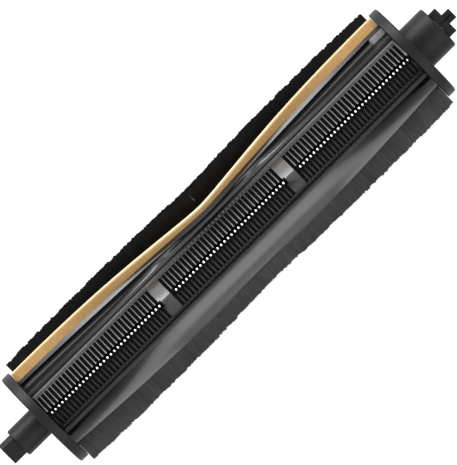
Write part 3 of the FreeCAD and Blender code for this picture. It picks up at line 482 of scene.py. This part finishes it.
def core_ring(x):
    """Outline of the core at one place: both arms with their channels, lips, slots and shoulders."""
    twist = share_of_twist(x)
    opening = hump(twist, *MID_ARM)
    filling = hump(twist, *INNER_ARM)
    ledge = [Vector((x, y * MM, z * MM)) for y, z in CHANNEL_LEDGE]
    back = [Vector((x, y * MM, z * MM)) for y, z in SHOULDER_LEDGE]
    flank = row_point(x, *(place + filling * move for place, move in zip(FLANK, FLANK_FILLING)))
    outwards = row_turn(x) @ Vector((0.0, 0.0, 1.0))
    rise = CHANNEL_SLOPE + CHANNEL_OPENING * opening + CHANNEL_FILLING * filling
    channel = curve_points(ledge[2], slope(rise), flank, outwards, CHANNEL_PULLS)
    lean = math.radians(LIP_LEAN + LIP_OPENING * opening)
    lip = row_point(x, LIP_ROOT[0] + LIP_WIDTH * math.sin(lean), LIP_ROOT[1] - LIP_WIDTH * math.cos(lean))
    crown = [row_point(x, *corner) for corner in ARM_CROWN]
    edge = row_point(x, *BACK_EDGE)
    chord = math.degrees(math.atan2(edge.z - back[0].z, edge.y - back[0].y))
    shoulder = curve_points(back[0], slope(chord + shoulder_turn(twist, *FOOT_TURN)),
                            edge, slope(chord + shoulder_turn(twist, *EDGE_TURN)), SHOULDER_PULLS)
    half = [*ledge[:2], *channel, lip, *crown, *reversed(shoulder), *back[1:]]
    return half + [Vector((point.x, -point.y, -point.z)) for point in half]


def core_shade_marks(x):
    """How much painted shade the core has at each corner of its outline: the seats, the channels, the shoulders'
    feet.
    """
    twist = share_of_twist(x)
    least, at_mid_arm, on_inner_arm = UNSHADED_PARTS
    unshaded = least + at_mid_arm * hump(twist, *MID_ARM) + on_inner_arm * hump(twist, *INNER_ARM)
    ledge = LEDGE_SHADE * ramp(twist, *LEDGE_RAMP)
    channel = [max(ledge, clipped((part - unshaded) / SHADE_FADE)) for part in range(CURVE_PARTS + 1)]
    lip = [LIP_SHADE[0] + LIP_SHADE[1] * ramp(twist, *LIP_RAMP)] * (1 + len(ARM_CROWN))
    foot = ramp(twist, *FOOT_RAMP)
    edge = 1.0 - ramp(twist, *MIDDLE_RAMP)
    shoulder = []
    for part in range(CURVE_PARTS + 1):
        up = part / CURVE_PARTS
        shoulder.append(clipped(foot * (1.0 - up) ** FOOT_FADE + edge * up ** EDGE_FADE))
    half = [1.0, ledge, *channel, *lip, *reversed(shoulder), 0.0, 1.0]
    return half + half


def strip_point(x, along, behind):
    """A point of the strip, as across and out: along it from the lip, and behind its face."""
    bend = 1.0 - ramp(share_of_twist(x), *STRIP_RAMP)
    lean = STRIP_LEAN + (STRIP_BEND * bend * bend * (3 - 2 * bend) if along > 0 else 0.0)
    return (LIP_ROOT[0] + along * math.sin(lean) - behind * math.cos(lean),
            LIP_ROOT[1] + along * math.cos(lean) + behind * math.sin(lean))


def strip_ring(x):
    """Outline of the strip at one place."""
    return [row_point(x, *strip_point(x, along, behind)) for along, behind in STRIP_CORNERS]


def strip_highlight_marks(x):
    """How much painted highlight the strip has at each corner: its free edge, most of all in the middle."""
    highlight_share = 1.0 - HIGHLIGHT_FADING * ramp(share_of_twist(x), *HIGHLIGHT_RAMP)
    return [highlight_share if number in STRIP_FREE_CORNERS else 0.0 for number in range(len(STRIP_CORNERS))]


def twist_to_row(bm, row):
    """Bend a straight row to the V of the upper or the lower row."""
    flip = Matrix.Rotation(HALF_TURN if row == "lower" else 0.0, 3, "X")
    for vertex in bm.verts:
        vertex.co = flip @ (row_turn(vertex.co.x) @ vertex.co)
    bmesh.ops.recalc_face_normals(bm, faces=bm.faces[:])


# Shader groups

def group_sockets(group, inputs, outputs):
    """Give a group its sockets, and return its two end nodes."""
    for name, kind, default in inputs:
        socket = group.interface.new_socket(name=name, in_out="INPUT", socket_type=kind)
        socket.default_value = default
    for name, kind in outputs:
        group.interface.new_socket(name=name, in_out="OUTPUT", socket_type=kind)
    return group.nodes.new("NodeGroupInput"), group.nodes.new("NodeGroupOutput")


def moulded_grain_group():
    """Fine spark-eroded grain and slow changes of gloss on moulded plastic."""
    name = "moulded_grain"
    if name in bpy.data.node_groups:
        return bpy.data.node_groups[name]
    group = bpy.data.node_groups.new(name, "ShaderNodeTree")
    start, end = group_sockets(
        group,
        [("Grain Scale", "NodeSocketFloat", 5200.0), ("Roughness", "NodeSocketFloat", 0.4),
         ("Colour", "NodeSocketColor", (0.04, 0.04, 0.04, 1.0))],
        [("Height", "NodeSocketFloat"), ("Roughness", "NodeSocketFloat"), ("Colour", "NodeSocketColor")])
    place = group.nodes.new("ShaderNodeTexCoord")
    grain = group.nodes.new("ShaderNodeTexNoise")
    grain.inputs["Detail"].default_value = 2.0
    grain.inputs["Roughness"].default_value = 0.6
    slow = group.nodes.new("ShaderNodeTexNoise")
    slow.inputs["Scale"].default_value = 60.0
    slow.inputs["Detail"].default_value = 3.0
    flow = group.nodes.new("ShaderNodeMapping")
    flow.inputs["Scale"].default_value = (0.35, 1.0, 1.0)
    spread = group.nodes.new("ShaderNodeMapRange")
    spread.inputs["To Min"].default_value = -0.05
    spread.inputs["To Max"].default_value = 0.06
    rough = group.nodes.new("ShaderNodeMath")
    rough.operation = "ADD"
    tone = group.nodes.new("ShaderNodeMapRange")
    tone.inputs["To Min"].default_value = 0.86
    tone.inputs["To Max"].default_value = 1.14
    speckle = group.nodes.new("ShaderNodeMix")
    speckle.data_type = "RGBA"
    speckle.blend_type = "MULTIPLY"
    speckle.inputs["Factor"].default_value = 1.0
    link = group.links.new
    link(place.outputs["Object"], grain.inputs["Vector"])
    link(place.outputs["Object"], flow.inputs["Vector"])
    link(flow.outputs["Vector"], slow.inputs["Vector"])
    link(start.outputs["Grain Scale"], grain.inputs["Scale"])
    link(grain.outputs["Fac"], end.inputs["Height"])
    link(slow.outputs["Fac"], spread.inputs["Value"])
    link(spread.outputs["Result"], rough.inputs[0])
    link(start.outputs["Roughness"], rough.inputs[1])
    link(rough.outputs["Value"], end.inputs["Roughness"])
    link(grain.outputs["Fac"], tone.inputs["Value"])
    link(start.outputs["Colour"], speckle.inputs["A"])
    link(tone.outputs["Result"], speckle.inputs["B"])
    link(speckle.outputs["Result"], end.inputs["Colour"])
    return group


def streak_group():
    """Streaks that run across the roller, close together along it, as combed filaments have."""
    name = "combed_streaks"
    if name in bpy.data.node_groups:
        return bpy.data.node_groups[name]
    group = bpy.data.node_groups.new(name, "ShaderNodeTree")
    start, end = group_sockets(
        group,
        [("Fine Scale", "NodeSocketFloat", 5400.0), ("Wide Scale", "NodeSocketFloat", 420.0),
         ("Stretch", "NodeSocketVector", (1.0, 0.03, 0.03))],
        [("Streaks", "NodeSocketFloat"), ("Patches", "NodeSocketFloat")])
    place = group.nodes.new("ShaderNodeTexCoord")
    stretch = group.nodes.new("ShaderNodeVectorMath")
    stretch.operation = "MULTIPLY"
    fine = group.nodes.new("ShaderNodeTexNoise")
    fine.inputs["Detail"].default_value = 2.0
    wide = group.nodes.new("ShaderNodeTexNoise")
    wide.inputs["Detail"].default_value = 2.0
    link = group.links.new
    link(place.outputs["Object"], stretch.inputs[0])
    link(start.outputs["Stretch"], stretch.inputs[1])
    link(stretch.outputs["Vector"], fine.inputs["Vector"])
    link(stretch.outputs["Vector"], wide.inputs["Vector"])
    link(start.outputs["Fine Scale"], fine.inputs["Scale"])
    link(start.outputs["Wide Scale"], wide.inputs["Scale"])
    link(fine.outputs["Fac"], end.inputs["Streaks"])
    link(wide.outputs["Fac"], end.inputs["Patches"])
    return group


# Materials

def new_material(name):
    """A material with its node tree and its shader."""
    material = bpy.data.materials.new(name)
    material.use_nodes = True
    return material, material.node_tree, material.node_tree.nodes["Principled BSDF"]


def add_group(tree, group, **values):
    """Place a group with its own values, named as its sockets are."""
    node = tree.nodes.new("ShaderNodeGroup")
    node.node_tree = group
    for socket, value in values.items():
        node.inputs[socket.replace("_", " ")].default_value = value
    return node


def add_bump(tree, shader, height, strength, distance):
    """Let a height shape the shader's normal."""
    bump = tree.nodes.new("ShaderNodeBump")
    bump.inputs["Strength"].default_value = strength
    bump.inputs["Distance"].default_value = distance
    tree.links.new(height, bump.inputs["Height"])
    tree.links.new(bump.outputs["Normal"], shader.inputs["Normal"])


def mixed_tones(tree, dark, light, mask):
    """Two tones mixed by a mask that changes over the surface."""
    mix = tree.nodes.new("ShaderNodeMix")
    mix.data_type = "RGBA"
    mix.inputs["A"].default_value = (*dark, 1.0)
    mix.inputs["B"].default_value = (*light, 1.0)
    tree.links.new(mask, mix.inputs["Factor"])
    return mix.outputs["Result"]


def moulded_plastic(name, tone, roughness, gloss=0.5):
    """Moulded plastic with fine grain."""
    material, tree, shader = new_material(name)
    grain = add_group(tree, moulded_grain_group(), Roughness=roughness, Colour=(*tone, 1.0))
    tree.links.new(grain.outputs["Colour"], shader.inputs["Base Color"])
    tree.links.new(grain.outputs["Roughness"], shader.inputs["Roughness"])
    add_bump(tree, shader, grain.outputs["Height"], strength=0.6, distance=0.012 * MM)
    shader.inputs["Specular IOR Level"].default_value = gloss
    return material


def fade_to_painted_shade(material, tone, roughness, gloss):
    """Let the marked parts of a plastic fade to painted shade: a darker colour with weaker reflections and their
    own roughness.
    """
    tree = material.node_tree
    shader = tree.nodes["Principled BSDF"]
    marks = tree.nodes.new("ShaderNodeAttribute")
    marks.attribute_name = PAINTED_LIGHT_MARKS
    for socket, kind, shaded in (("Base Color", "RGBA", (*tone, 1.0)), ("Roughness", "FLOAT", roughness),
                               ("Specular IOR Level", "FLOAT", gloss)):
        target = shader.inputs[socket]
        mix = tree.nodes.new("ShaderNodeMix")
        mix.data_type = kind
        if target.is_linked:
            tree.links.new(target.links[0].from_socket, mix.inputs["A"])
        else:
            mix.inputs["A"].default_value = target.default_value
        mix.inputs["B"].default_value = shaded
        tree.links.new(marks.outputs["Fac"], mix.inputs["Factor"])
        tree.links.new(mix.outputs["Result"], target)


def bristle_nylon(name, tone, gloss):
    """Black nylon whose filaments differ a little in tone."""
    material, tree, shader = new_material(name)
    streaks = add_group(tree, streak_group())
    lift = tree.nodes.new("ShaderNodeMath")
    lift.operation = "MULTIPLY_ADD"
    lift.inputs[1].default_value = 0.9
    lift.inputs[2].default_value = 0.5
    mask = tree.nodes.new("ShaderNodeMath")
    mask.operation = "MULTIPLY"
    tree.links.new(streaks.outputs["Patches"], lift.inputs[0])
    tree.links.new(streaks.outputs["Streaks"], mask.inputs[0])
    tree.links.new(lift.outputs["Value"], mask.inputs[1])
    tones = mixed_tones(tree, [0.35 * part for part in tone], [1.75 * part for part in tone],
                        mask.outputs["Value"])
    tree.links.new(tones, shader.inputs["Base Color"])
    shader.inputs["Roughness"].default_value = 0.58
    shader.inputs["Specular IOR Level"].default_value = gloss
    return material


def strip_rubber(name, tone, light_tone, highlight_tone):
    """Soft elastomer with faint extrusion marks across it and a painted highlight along its free edge."""
    material, tree, shader = new_material(name)
    streaks = add_group(tree, streak_group(), Fine_Scale=2600.0, Wide_Scale=180.0, Stretch=(1.0, 0.12, 0.12))
    grain = add_group(tree, moulded_grain_group(), Grain_Scale=4200.0, Roughness=0.5, Colour=(*tone, 1.0))
    edge = tree.nodes.new("ShaderNodeAttribute")
    edge.attribute_name = PAINTED_LIGHT_MARKS
    # Painted highlight: the free edge is mixed towards the paler edge colour.
    painted_highlight = tree.nodes.new("ShaderNodeMix")
    painted_highlight.data_type = "RGBA"
    painted_highlight.inputs["B"].default_value = (*highlight_tone, 1.0)
    tree.links.new(edge.outputs["Fac"], painted_highlight.inputs["Factor"])
    tree.links.new(mixed_tones(tree, tone, light_tone, streaks.outputs["Streaks"]), painted_highlight.inputs["A"])
    tree.links.new(painted_highlight.outputs["Result"], shader.inputs["Base Color"])
    tree.links.new(grain.outputs["Roughness"], shader.inputs["Roughness"])
    add_bump(tree, shader, streaks.outputs["Streaks"], strength=0.35, distance=0.02 * MM)
    shader.inputs["Specular IOR Level"].default_value = 0.2
    return material


def brushed_metal(name, tone, roughness, stretch=(0.02, 1.0, 1.0)):
    """Metal with fine grinding marks along the roller."""
    material, tree, shader = new_material(name)
    marks = add_group(tree, streak_group(), Fine_Scale=5200.0, Wide_Scale=300.0, Stretch=stretch)
    shader.inputs["Metallic"].default_value = 1.0
    spread = tree.nodes.new("ShaderNodeMapRange")
    spread.inputs["To Min"].default_value = roughness - 0.07
    spread.inputs["To Max"].default_value = roughness + 0.1
    tones = mixed_tones(tree, [0.86 * part for part in tone], tone, marks.outputs["Streaks"])
    tree.links.new(tones, shader.inputs["Base Color"])
    tree.links.new(marks.outputs["Streaks"], spread.inputs["Value"])
    tree.links.new(spread.outputs["Result"], shader.inputs["Roughness"])
    add_bump(tree, shader, marks.outputs["Streaks"], strength=0.3, distance=0.004 * MM)
    return material


def dress_node(node, material):
    """Give a CAD node that stays its material."""
    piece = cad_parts[node]
    piece.data.materials.clear()
    piece.data.materials.append(material)


# Pieces

class ROLLER_OT_core(bpy.types.Operator):
    """Moulded core with the lock tabs at its end"""
    bl_idname = "roller.core"
    bl_label = "Core and Lock Tabs"

    def execute(self, context):
        plastic = context.scene.roller_plastic
        material = moulded_plastic("core_plastic", plastic.core_colour, plastic.core_roughness,
                                   plastic.core_gloss)
        # Painted shade: the core's seats, channels, lip and shoulders fade to a darker colour with weaker
        # reflections.
        fade_to_painted_shade(material, plastic.painted_shade_colour, plastic.recess_roughness, plastic.dull_gloss)
        stations = stations_between(MIDDLE_X - HALF_LENGTH, MIDDLE_X + HALF_LENGTH)
        bm = sweep_ring(core_ring, core_shade_marks, stations)
        self.open_bore(bm, plastic.bore_radius)
        round_edges(bm, plastic.edge_radius, CORE_SHARP_ANGLE)
        stand_for(weigh_normals(new_object("core_skin", bm, material)), "roller", "core_body")
        # The tabs' light grey is painted light.
        tab_material = moulded_plastic("tab_plastic", plastic.tab_lit_colour, plastic.comb_roughness)
        for row in ROWS:
            rounded_node(f"lock_tab_{row}", tab_material, plastic.edge_radius, "roller")
        return {"FINISHED"}

    def open_bore(self, bm, radius):
        """Close the ends round the bore, which runs right through."""
        for rim in open_ends(bm):
            x = rim[0].verts[0].co.x
            place = Matrix.Translation((x, 0, 0)) @ Matrix.Rotation(HALF_TURN / 2, 4, "Y")
            hole = bmesh.ops.create_circle(bm, cap_ends=False, segments=BORE_SEGMENTS, radius=radius,
                                           matrix=place)["verts"]
            edges = {edge for vertex in hole for edge in vertex.link_edges}
            bmesh.ops.triangle_fill(bm, edges=rim + list(edges), use_beauty=True)
        bmesh.ops.bridge_loops(bm, edges=[edge for edge in bm.edges if edge.is_boundary])
        bmesh.ops.recalc_face_normals(bm, faces=bm.faces[:])


class ROLLER_OT_combs(bpy.types.Operator):
    """Slotted combs over the blades"""
    bl_idname = "roller.combs"
    bl_label = "Combs"

    def execute(self, context):
        plastic = context.scene.roller_plastic
        material = moulded_plastic("comb_plastic", plastic.comb_colour, plastic.comb_roughness,
                                   plastic.comb_gloss)
        # Painted shade: the comb's crest and lower side fade to a darker colour with weaker reflections.
        fade_to_painted_shade(material, plastic.painted_shade_colour, plastic.crest_roughness, plastic.dull_gloss)
        for face in FACES:
            bm = copy_of_node(f"comb_{face}")
            self.refine(bm, 1.0 if face == "front" else -1.0)
            round_edges(bm, plastic.comb_edge_radius, segments=1)
            comb = weigh_normals(new_object(f"comb_{face}_skin", bm, material))
            stand_for(comb, "roller", f"comb_{face}")
        return {"FINISHED"}

    def refine(self, bm, side):
        """Slope the rails' tops, cut the fins back below the teeth, and mark painted shade on the crest and one
        side.
        """
        mark = bm.verts.layers.float.new(PAINTED_LIGHT_MARKS)
        for vertex in bm.verts:
            y, z = vertex.co.y * side / MM, vertex.co.z * side / MM
            vertex[mark] = next((shaded for limit, shaded in COMB_SHADE if y < limit), 0.0)
            for place, above, move in COMB_MOVES:
                if abs(y - place) < COMB_TOLERANCE and z > above:
                    vertex.co.y += move[0] * MM * side
                    vertex.co.z += move[1] * MM * side
                    break


class ROLLER_OT_caps(bpy.types.Operator):
    """End caps with their flanges, and the axle head"""
    bl_idname = "roller.caps"
    bl_label = "End Caps"

    def execute(self, context):
        plastic = context.scene.roller_plastic
        material = moulded_plastic("cap_plastic", plastic.cap_colour, plastic.cap_roughness,
                                   plastic.cap_gloss)
        bodies = {"drive_cap": "roller", "bearing_cap": "roller", "axle_head": "end_axle"}
        for node, body in bodies.items():
            rounded_node(node, material, plastic.edge_radius, body)
        return {"FINISHED"}


class ROLLER_OT_strips(bpy.types.Operator):
    """Rubber strips in front of the bristles"""
    bl_idname = "roller.strips"
    bl_label = "Rubber Strips"

    def execute(self, context):
        rubber = context.scene.roller_rubber
        material = strip_rubber("strip_rubber", rubber.strip_colour, rubber.strip_light_colour,
                                rubber.strip_highlight_colour)
        for row in ROWS:
            low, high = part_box(f"rubber_strip_{row}")
            bm = close_ends(sweep_ring(strip_ring, strip_highlight_marks, stations_between(low.x, high.x)))
            if row == "lower":
                bmesh.ops.rotate(bm, verts=bm.verts[:], matrix=Matrix.Rotation(HALF_TURN, 3, "X"))
            round_edges(bm, rubber.strip_edge_radius)
            strip = weigh_normals(new_object(f"rubber_strip_{row}_skin", bm, material))
            stand_for(strip, "roller", f"rubber_strip_{row}")
        return {"FINISHED"}


def tuft_mesh(settings, seed):
    """One tuft of loose filaments, standing up along Z round the middle of its pitch."""
    draw = random.Random(seed)
    bm = bmesh.new()
    pitch = settings.tuft_pitch
    rows_across = max(1, round(math.sqrt(settings.filaments * settings.root_width / pitch)))
    rows_along = max(1, round(settings.filaments / rows_across))
    lengths = [draw.random() for _ in range(rows_along)]
    for across_row in range(rows_across):
        for along_row in range(rows_along):
            across = (across_row + draw.random()) / rows_across - 0.5
            along = (along_row + draw.random()) / rows_along - 0.5
            shorter = CLUMP_SHARE * lengths[along_row // 2] + LOOSE_SHARE * draw.random()
            tip_across = max(-0.5, min(0.5, across + draw.gauss(0, TIP_SPREAD_ACROSS)))
            tip_along = max(-0.5, min(0.5, along + draw.gauss(0, TIP_SPREAD_ALONG)))
            root = Vector((along * pitch * ROOT_FILLING, -settings.root_across - across * settings.root_width,
                           settings.root_radius))
            tip = Vector((tip_along * pitch, -tip_across * settings.tip_width, 0.0))
            tip.z = math.sqrt((settings.tip_radius - settings.raggedness * shorter) ** 2 - tip.y ** 2)
            standing = (tip - root).to_track_quat("Z", "Y").to_matrix().to_4x4()
            bmesh.ops.create_cone(bm, cap_ends=True, cap_tris=False, segments=3,
                                  radius1=settings.filament_width / 2,
                                  radius2=settings.filament_width * TIP_RADIUS_SHARE,
                                  depth=(tip - root).length,
                                  matrix=Matrix.Translation((root + tip) / 2) @ standing)
    mesh = bpy.data.meshes.new("tuft")
    bm.to_mesh(mesh)
    bm.free()
    return mesh


def add_backing(bm, settings, x_from, x_to):
    """The dark solid inside a row, which no light passes."""
    made = bmesh.ops.create_cube(bm, size=1.0)["verts"]
    for vertex in made:
        is_top = vertex.co.z > 0
        width = (settings.tip_width if is_top else settings.root_width) - 2 * BACKING_MARGIN
        middle = 0.0 if is_top else -settings.root_across
        vertex.co = Vector((
            x_from + BACKING_MARGIN / 2 if vertex.co.x < 0 else x_to - BACKING_MARGIN / 2,
            middle + vertex.co.y * width,
            settings.tip_radius - BACKING_TIP_MARGIN if is_top else settings.root_radius - BACKING_SINK,
        ))
    along = [edge for edge in bm.edges if abs(edge.verts[0].co.x - edge.verts[1].co.x) > MM]
    bmesh.ops.subdivide_edges(bm, edges=along, cuts=BACKING_CUTS, use_grid_fill=True)


def half_row(settings, tufts, row, x_from, x_to, seed):
    """Half of a V: a dark backing with loose tufts side by side."""
    draw = random.Random(seed)
    bm = bmesh.new()
    add_backing(bm, settings, x_from, x_to)
    count = round((x_to - x_from) / settings.tuft_pitch)
    pitch = (x_to - x_from) / count
    for number in range(count):
        tuft = draw.choice(tufts).copy()
        turned = Matrix.Scale(draw.choice((-1.0, 1.0)), 4, Vector((1, 0, 0)))
        short = 1.0 - settings.tuft_raggedness / settings.tip_radius * draw.random()
        place = Matrix.Translation((x_from + (number + 0.5) * pitch, 0, 0))
        shrink = Matrix.Scale(short, 4, Vector((0, 0, 1)))
        tuft.transform(place @ shrink @ turned)
        bm.from_mesh(tuft)
        bpy.data.meshes.remove(tuft)
    twist_to_row(bm, row)
    return bm


class ROLLER_OT_bristles(bpy.types.Operator):
    """Bristle rows made of loose filaments"""
    bl_idname = "roller.bristles"
    bl_label = "Bristle Rows"

    def execute(self, context):
        settings = context.scene.roller_bristles
        # Each row gets its own copy of the nylon, with painted shade on the upper row and painted light on the
        # lower.
        rows = {
            "upper": (settings.upper_shaded_colour, settings.upper_gloss, settings.upper_end_gap),
            "lower": (settings.lower_lit_colour, settings.lower_gloss, settings.lower_end_gap),
        }
        tufts = [tuft_mesh(settings, seed) for seed in range(TUFT_KINDS)]
        for row, (tone, gloss, end_gap) in rows.items():
            material = bristle_nylon(f"bristle_nylon_{row}", tone, gloss)
            for side in SIDES:
                x_from, x_to = MIDDLE_X - HALF_LENGTH + end_gap, MIDDLE_X - settings.middle_gap / 2
                if side == "right":
                    x_from, x_to = MIDDLE_X + settings.middle_gap / 2, MIDDLE_X + HALF_LENGTH - end_gap
                bm = half_row(settings, tufts, row, x_from, x_to, f"{row} {side}")
                piece = new_object(f"bristles_{row}_{side}", bm, material)
                stand_for(piece, "roller", f"bristle_row_{row}_{side}")
        for tuft in tufts:
            bpy.data.meshes.remove(tuft)
        return {"FINISHED"}


class ROLLER_OT_cutters(bpy.types.Operator):
    """Steel blades with the polished nibs on their teeth, and the blade carriers"""
    bl_idname = "roller.cutters"
    bl_label = "Blades"

    def execute(self, context):
        metal = context.scene.roller_metal
        plastic = context.scene.roller_plastic
        # The blades' near black is painted shade.
        steel = brushed_metal("blade_steel", metal.blade_shade_colour, metal.blade_roughness)
        polished = brushed_metal("nib_steel", metal.nib_colour, metal.nib_roughness)
        # The carriers' near black is painted shade.
        carrier = moulded_plastic("carrier_plastic", plastic.carrier_colour, plastic.inner_roughness,
                                  plastic.dull_gloss)
        for face in FACES:
            dress_node(f"sliding_blade_{face}", steel)
            dress_node(f"fixed_blade_{face}", steel)
            dress_node(f"blade_carrier_{face}", carrier)
            self.add_nibs(face, polished, metal.nib_radius, metal.nib_offset)
        return {"FINISHED"}

    def add_nibs(self, face, material, radius, offset):
        """A polished tip on every tooth of a sliding blade."""
        low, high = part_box(f"sliding_blade_{face}")
        tip = high.z - NIB_SINK if face == "front" else low.z + NIB_SINK
        middle_y = (low.y + high.y) / 2 + (-offset if face == "front" else offset)
        first = MIDDLE_X - SECTION_PITCH - TOOTH_PITCH * (TEETH - 1) / 2
        bm = bmesh.new()
        for section in range(SECTIONS):
            for tooth in range(TEETH):
                centre = Vector((first + section * SECTION_PITCH + tooth * TOOTH_PITCH, middle_y, tip))
                bmesh.ops.create_icosphere(bm, subdivisions=2, radius=radius,
                                           matrix=Matrix.Translation(centre))
        piece = new_object(f"tooth_nibs_{face}", bm, material)
        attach(piece, f"cutter_{face}")


class ROLLER_OT_inner(bpy.types.Operator):
    """Axle, clip, bush and cam drum inside the roller"""
    bl_idname = "roller.inner"
    bl_label = "Axle and Cam"

    def execute(self, context):
        metal = context.scene.roller_metal
        plastic = context.scene.roller_plastic
        steel = brushed_metal("axle_steel", metal.steel_colour, metal.steel_roughness,
                              stretch=(1.0, 0.02, 0.02))
        bronze = brushed_metal("bush_bronze", metal.bush_colour, metal.bush_roughness)
        cam = moulded_plastic("cam_plastic", plastic.cam_colour, plastic.inner_roughness)
        dress_node("axle_shaft", steel)
        dress_node("retaining_clip", steel)
        dress_node("axle_bush", bronze)
        dress_node("cam_drum", cam)
        return {"FINISHED"}


# Studio

def soft_box(name, size, place, power):
    """A rectangular lamp that faces the roller."""
    light = bpy.data.lights.new(name, "AREA")
    light.shape = "RECTANGLE"
    light.size, light.size_y = size
    light.energy = power
    lamp = bpy.data.objects.new(name, light)
    bpy.context.scene.collection.objects.link(lamp)
    lamp.location = place
    lamp.rotation_euler = (Vector() - Vector(place)).to_track_quat("-Z", "Y").to_euler()


def seeing_rays(tree):
    """1 for the rays that see plain white: the camera's, and those in reflections and glass."""
    rays = tree.nodes.new("ShaderNodeLightPath")
    seeing = rays.outputs["Is Camera Ray"]
    for kind in ("Is Glossy Ray", "Is Transmission Ray"):
        either = tree.nodes.new("ShaderNodeMath")
        either.operation = "MAXIMUM"
        tree.links.new(seeing, either.inputs[0])
        tree.links.new(rays.outputs[kind], either.inputs[1])
        seeing = either.outputs["Value"]
    return seeing


def studio_world(strength):
    """Soft light from all round, with white behind the object."""
    world = bpy.data.worlds.new("studio")
    bpy.context.scene.world = world
    world.use_nodes = True
    tree = world.node_tree
    tree.nodes.clear()
    mix = tree.nodes.new("ShaderNodeMixShader")
    for number, level in enumerate((strength, 1.0), start=1):
        background = tree.nodes.new("ShaderNodeBackground")
        background.inputs["Color"].default_value = WHITE
        background.inputs["Strength"].default_value = level
        tree.links.new(background.outputs["Background"], mix.inputs[number])
    out = tree.nodes.new("ShaderNodeOutputWorld")
    tree.links.new(seeing_rays(tree), mix.inputs["Fac"])
    tree.links.new(mix.outputs["Shader"], out.inputs["Surface"])


def floor_paper(tone, glow):
    """White paper that keeps the object's shadow and looks white to the camera and in reflections."""
    material, tree, shader = new_material("floor_paper")
    shader.inputs["Base Color"].default_value = (*tone, 1.0)
    shader.inputs["Roughness"].default_value = 0.9
    shader.inputs["Specular IOR Level"].default_value = 0.0
    shader.inputs["Emission Color"].default_value = WHITE
    power = tree.nodes.new("ShaderNodeMath")
    power.operation = "MULTIPLY"
    power.inputs[1].default_value = glow
    tree.links.new(seeing_rays(tree), power.inputs[0])
    tree.links.new(power.outputs["Value"], shader.inputs["Emission Strength"])
    return material


class ROLLER_OT_stage(bpy.types.Operator):
    """Floor, soft light and camera"""
    bl_idname = "roller.stage"
    bl_label = "Studio"

    def execute(self, context):
        stage = context.scene.roller_stage
        bm = bmesh.new()
        bmesh.ops.create_grid(bm, x_segments=1, y_segments=1, size=FLOOR_SIZE)
        bmesh.ops.translate(bm, verts=bm.verts[:], vec=(0, 0, CAD_BOX[0].z))
        floor = new_object("floor", bm, floor_paper(stage.floor_colour, stage.floor_glow))
        studio_world(stage.world_level)
        soft_box("key_box", *KEY_BOX, stage.key_power)
        soft_box("fill_box", *FILL_BOX, stage.fill_power)
        camera_data = bpy.data.cameras.new("camera")
        camera_data.sensor_width = 36.0
        camera_data.lens = stage.camera_lens
        camera_data.clip_end = 20.0
        camera = bpy.data.objects.new("camera", camera_data)
        context.scene.collection.objects.link(camera)
        camera.location = (*stage.camera_place, stage.camera_height)
        camera.rotation_euler = (0.0, 0.0, stage.camera_turn)
        context.scene.camera = camera
        context.scene.view_settings.view_transform = "Standard"
        return {"FINISHED"}


STEPS = (ROLLER_OT_core, ROLLER_OT_combs, ROLLER_OT_strips, ROLLER_OT_bristles, ROLLER_OT_cutters,
         ROLLER_OT_caps, ROLLER_OT_inner, ROLLER_OT_stage)


class ROLLER_PT_panel(bpy.types.Panel):
    """Lists the steps that dress the roller"""
    bl_label = "Cleaning Roller"
    bl_idname = "ROLLER_PT_panel"
    bl_space_type = "VIEW_3D"
    bl_region_type = "UI"
    bl_category = "Cleaning Roller"

    def draw(self, context):
        for step in STEPS:
            self.layout.operator(step.bl_idname)


SETTINGS = {
    "roller_bristles": BristleSettings,
    "roller_plastic": PlasticSettings,
    "roller_rubber": RubberSettings,
    "roller_metal": MetalSettings,
    "roller_stage": StageSettings,
}


def register():
    for kind in (*SETTINGS.values(), *STEPS, ROLLER_PT_panel):
        bpy.utils.register_class(kind)
    for name, kind in SETTINGS.items():
        setattr(bpy.types.Scene, name, PointerProperty(type=kind))


def unregister():
    for name in SETTINGS:
        delattr(bpy.types.Scene, name)
    for kind in reversed((*SETTINGS.values(), *STEPS, ROLLER_PT_panel)):
        bpy.utils.unregister_class(kind)


def main():
    register()
    for step in STEPS:
        group, name = step.bl_idname.split(".")
        getattr(getattr(bpy.ops, group), name)()


if __name__ == "__main__":
    main()
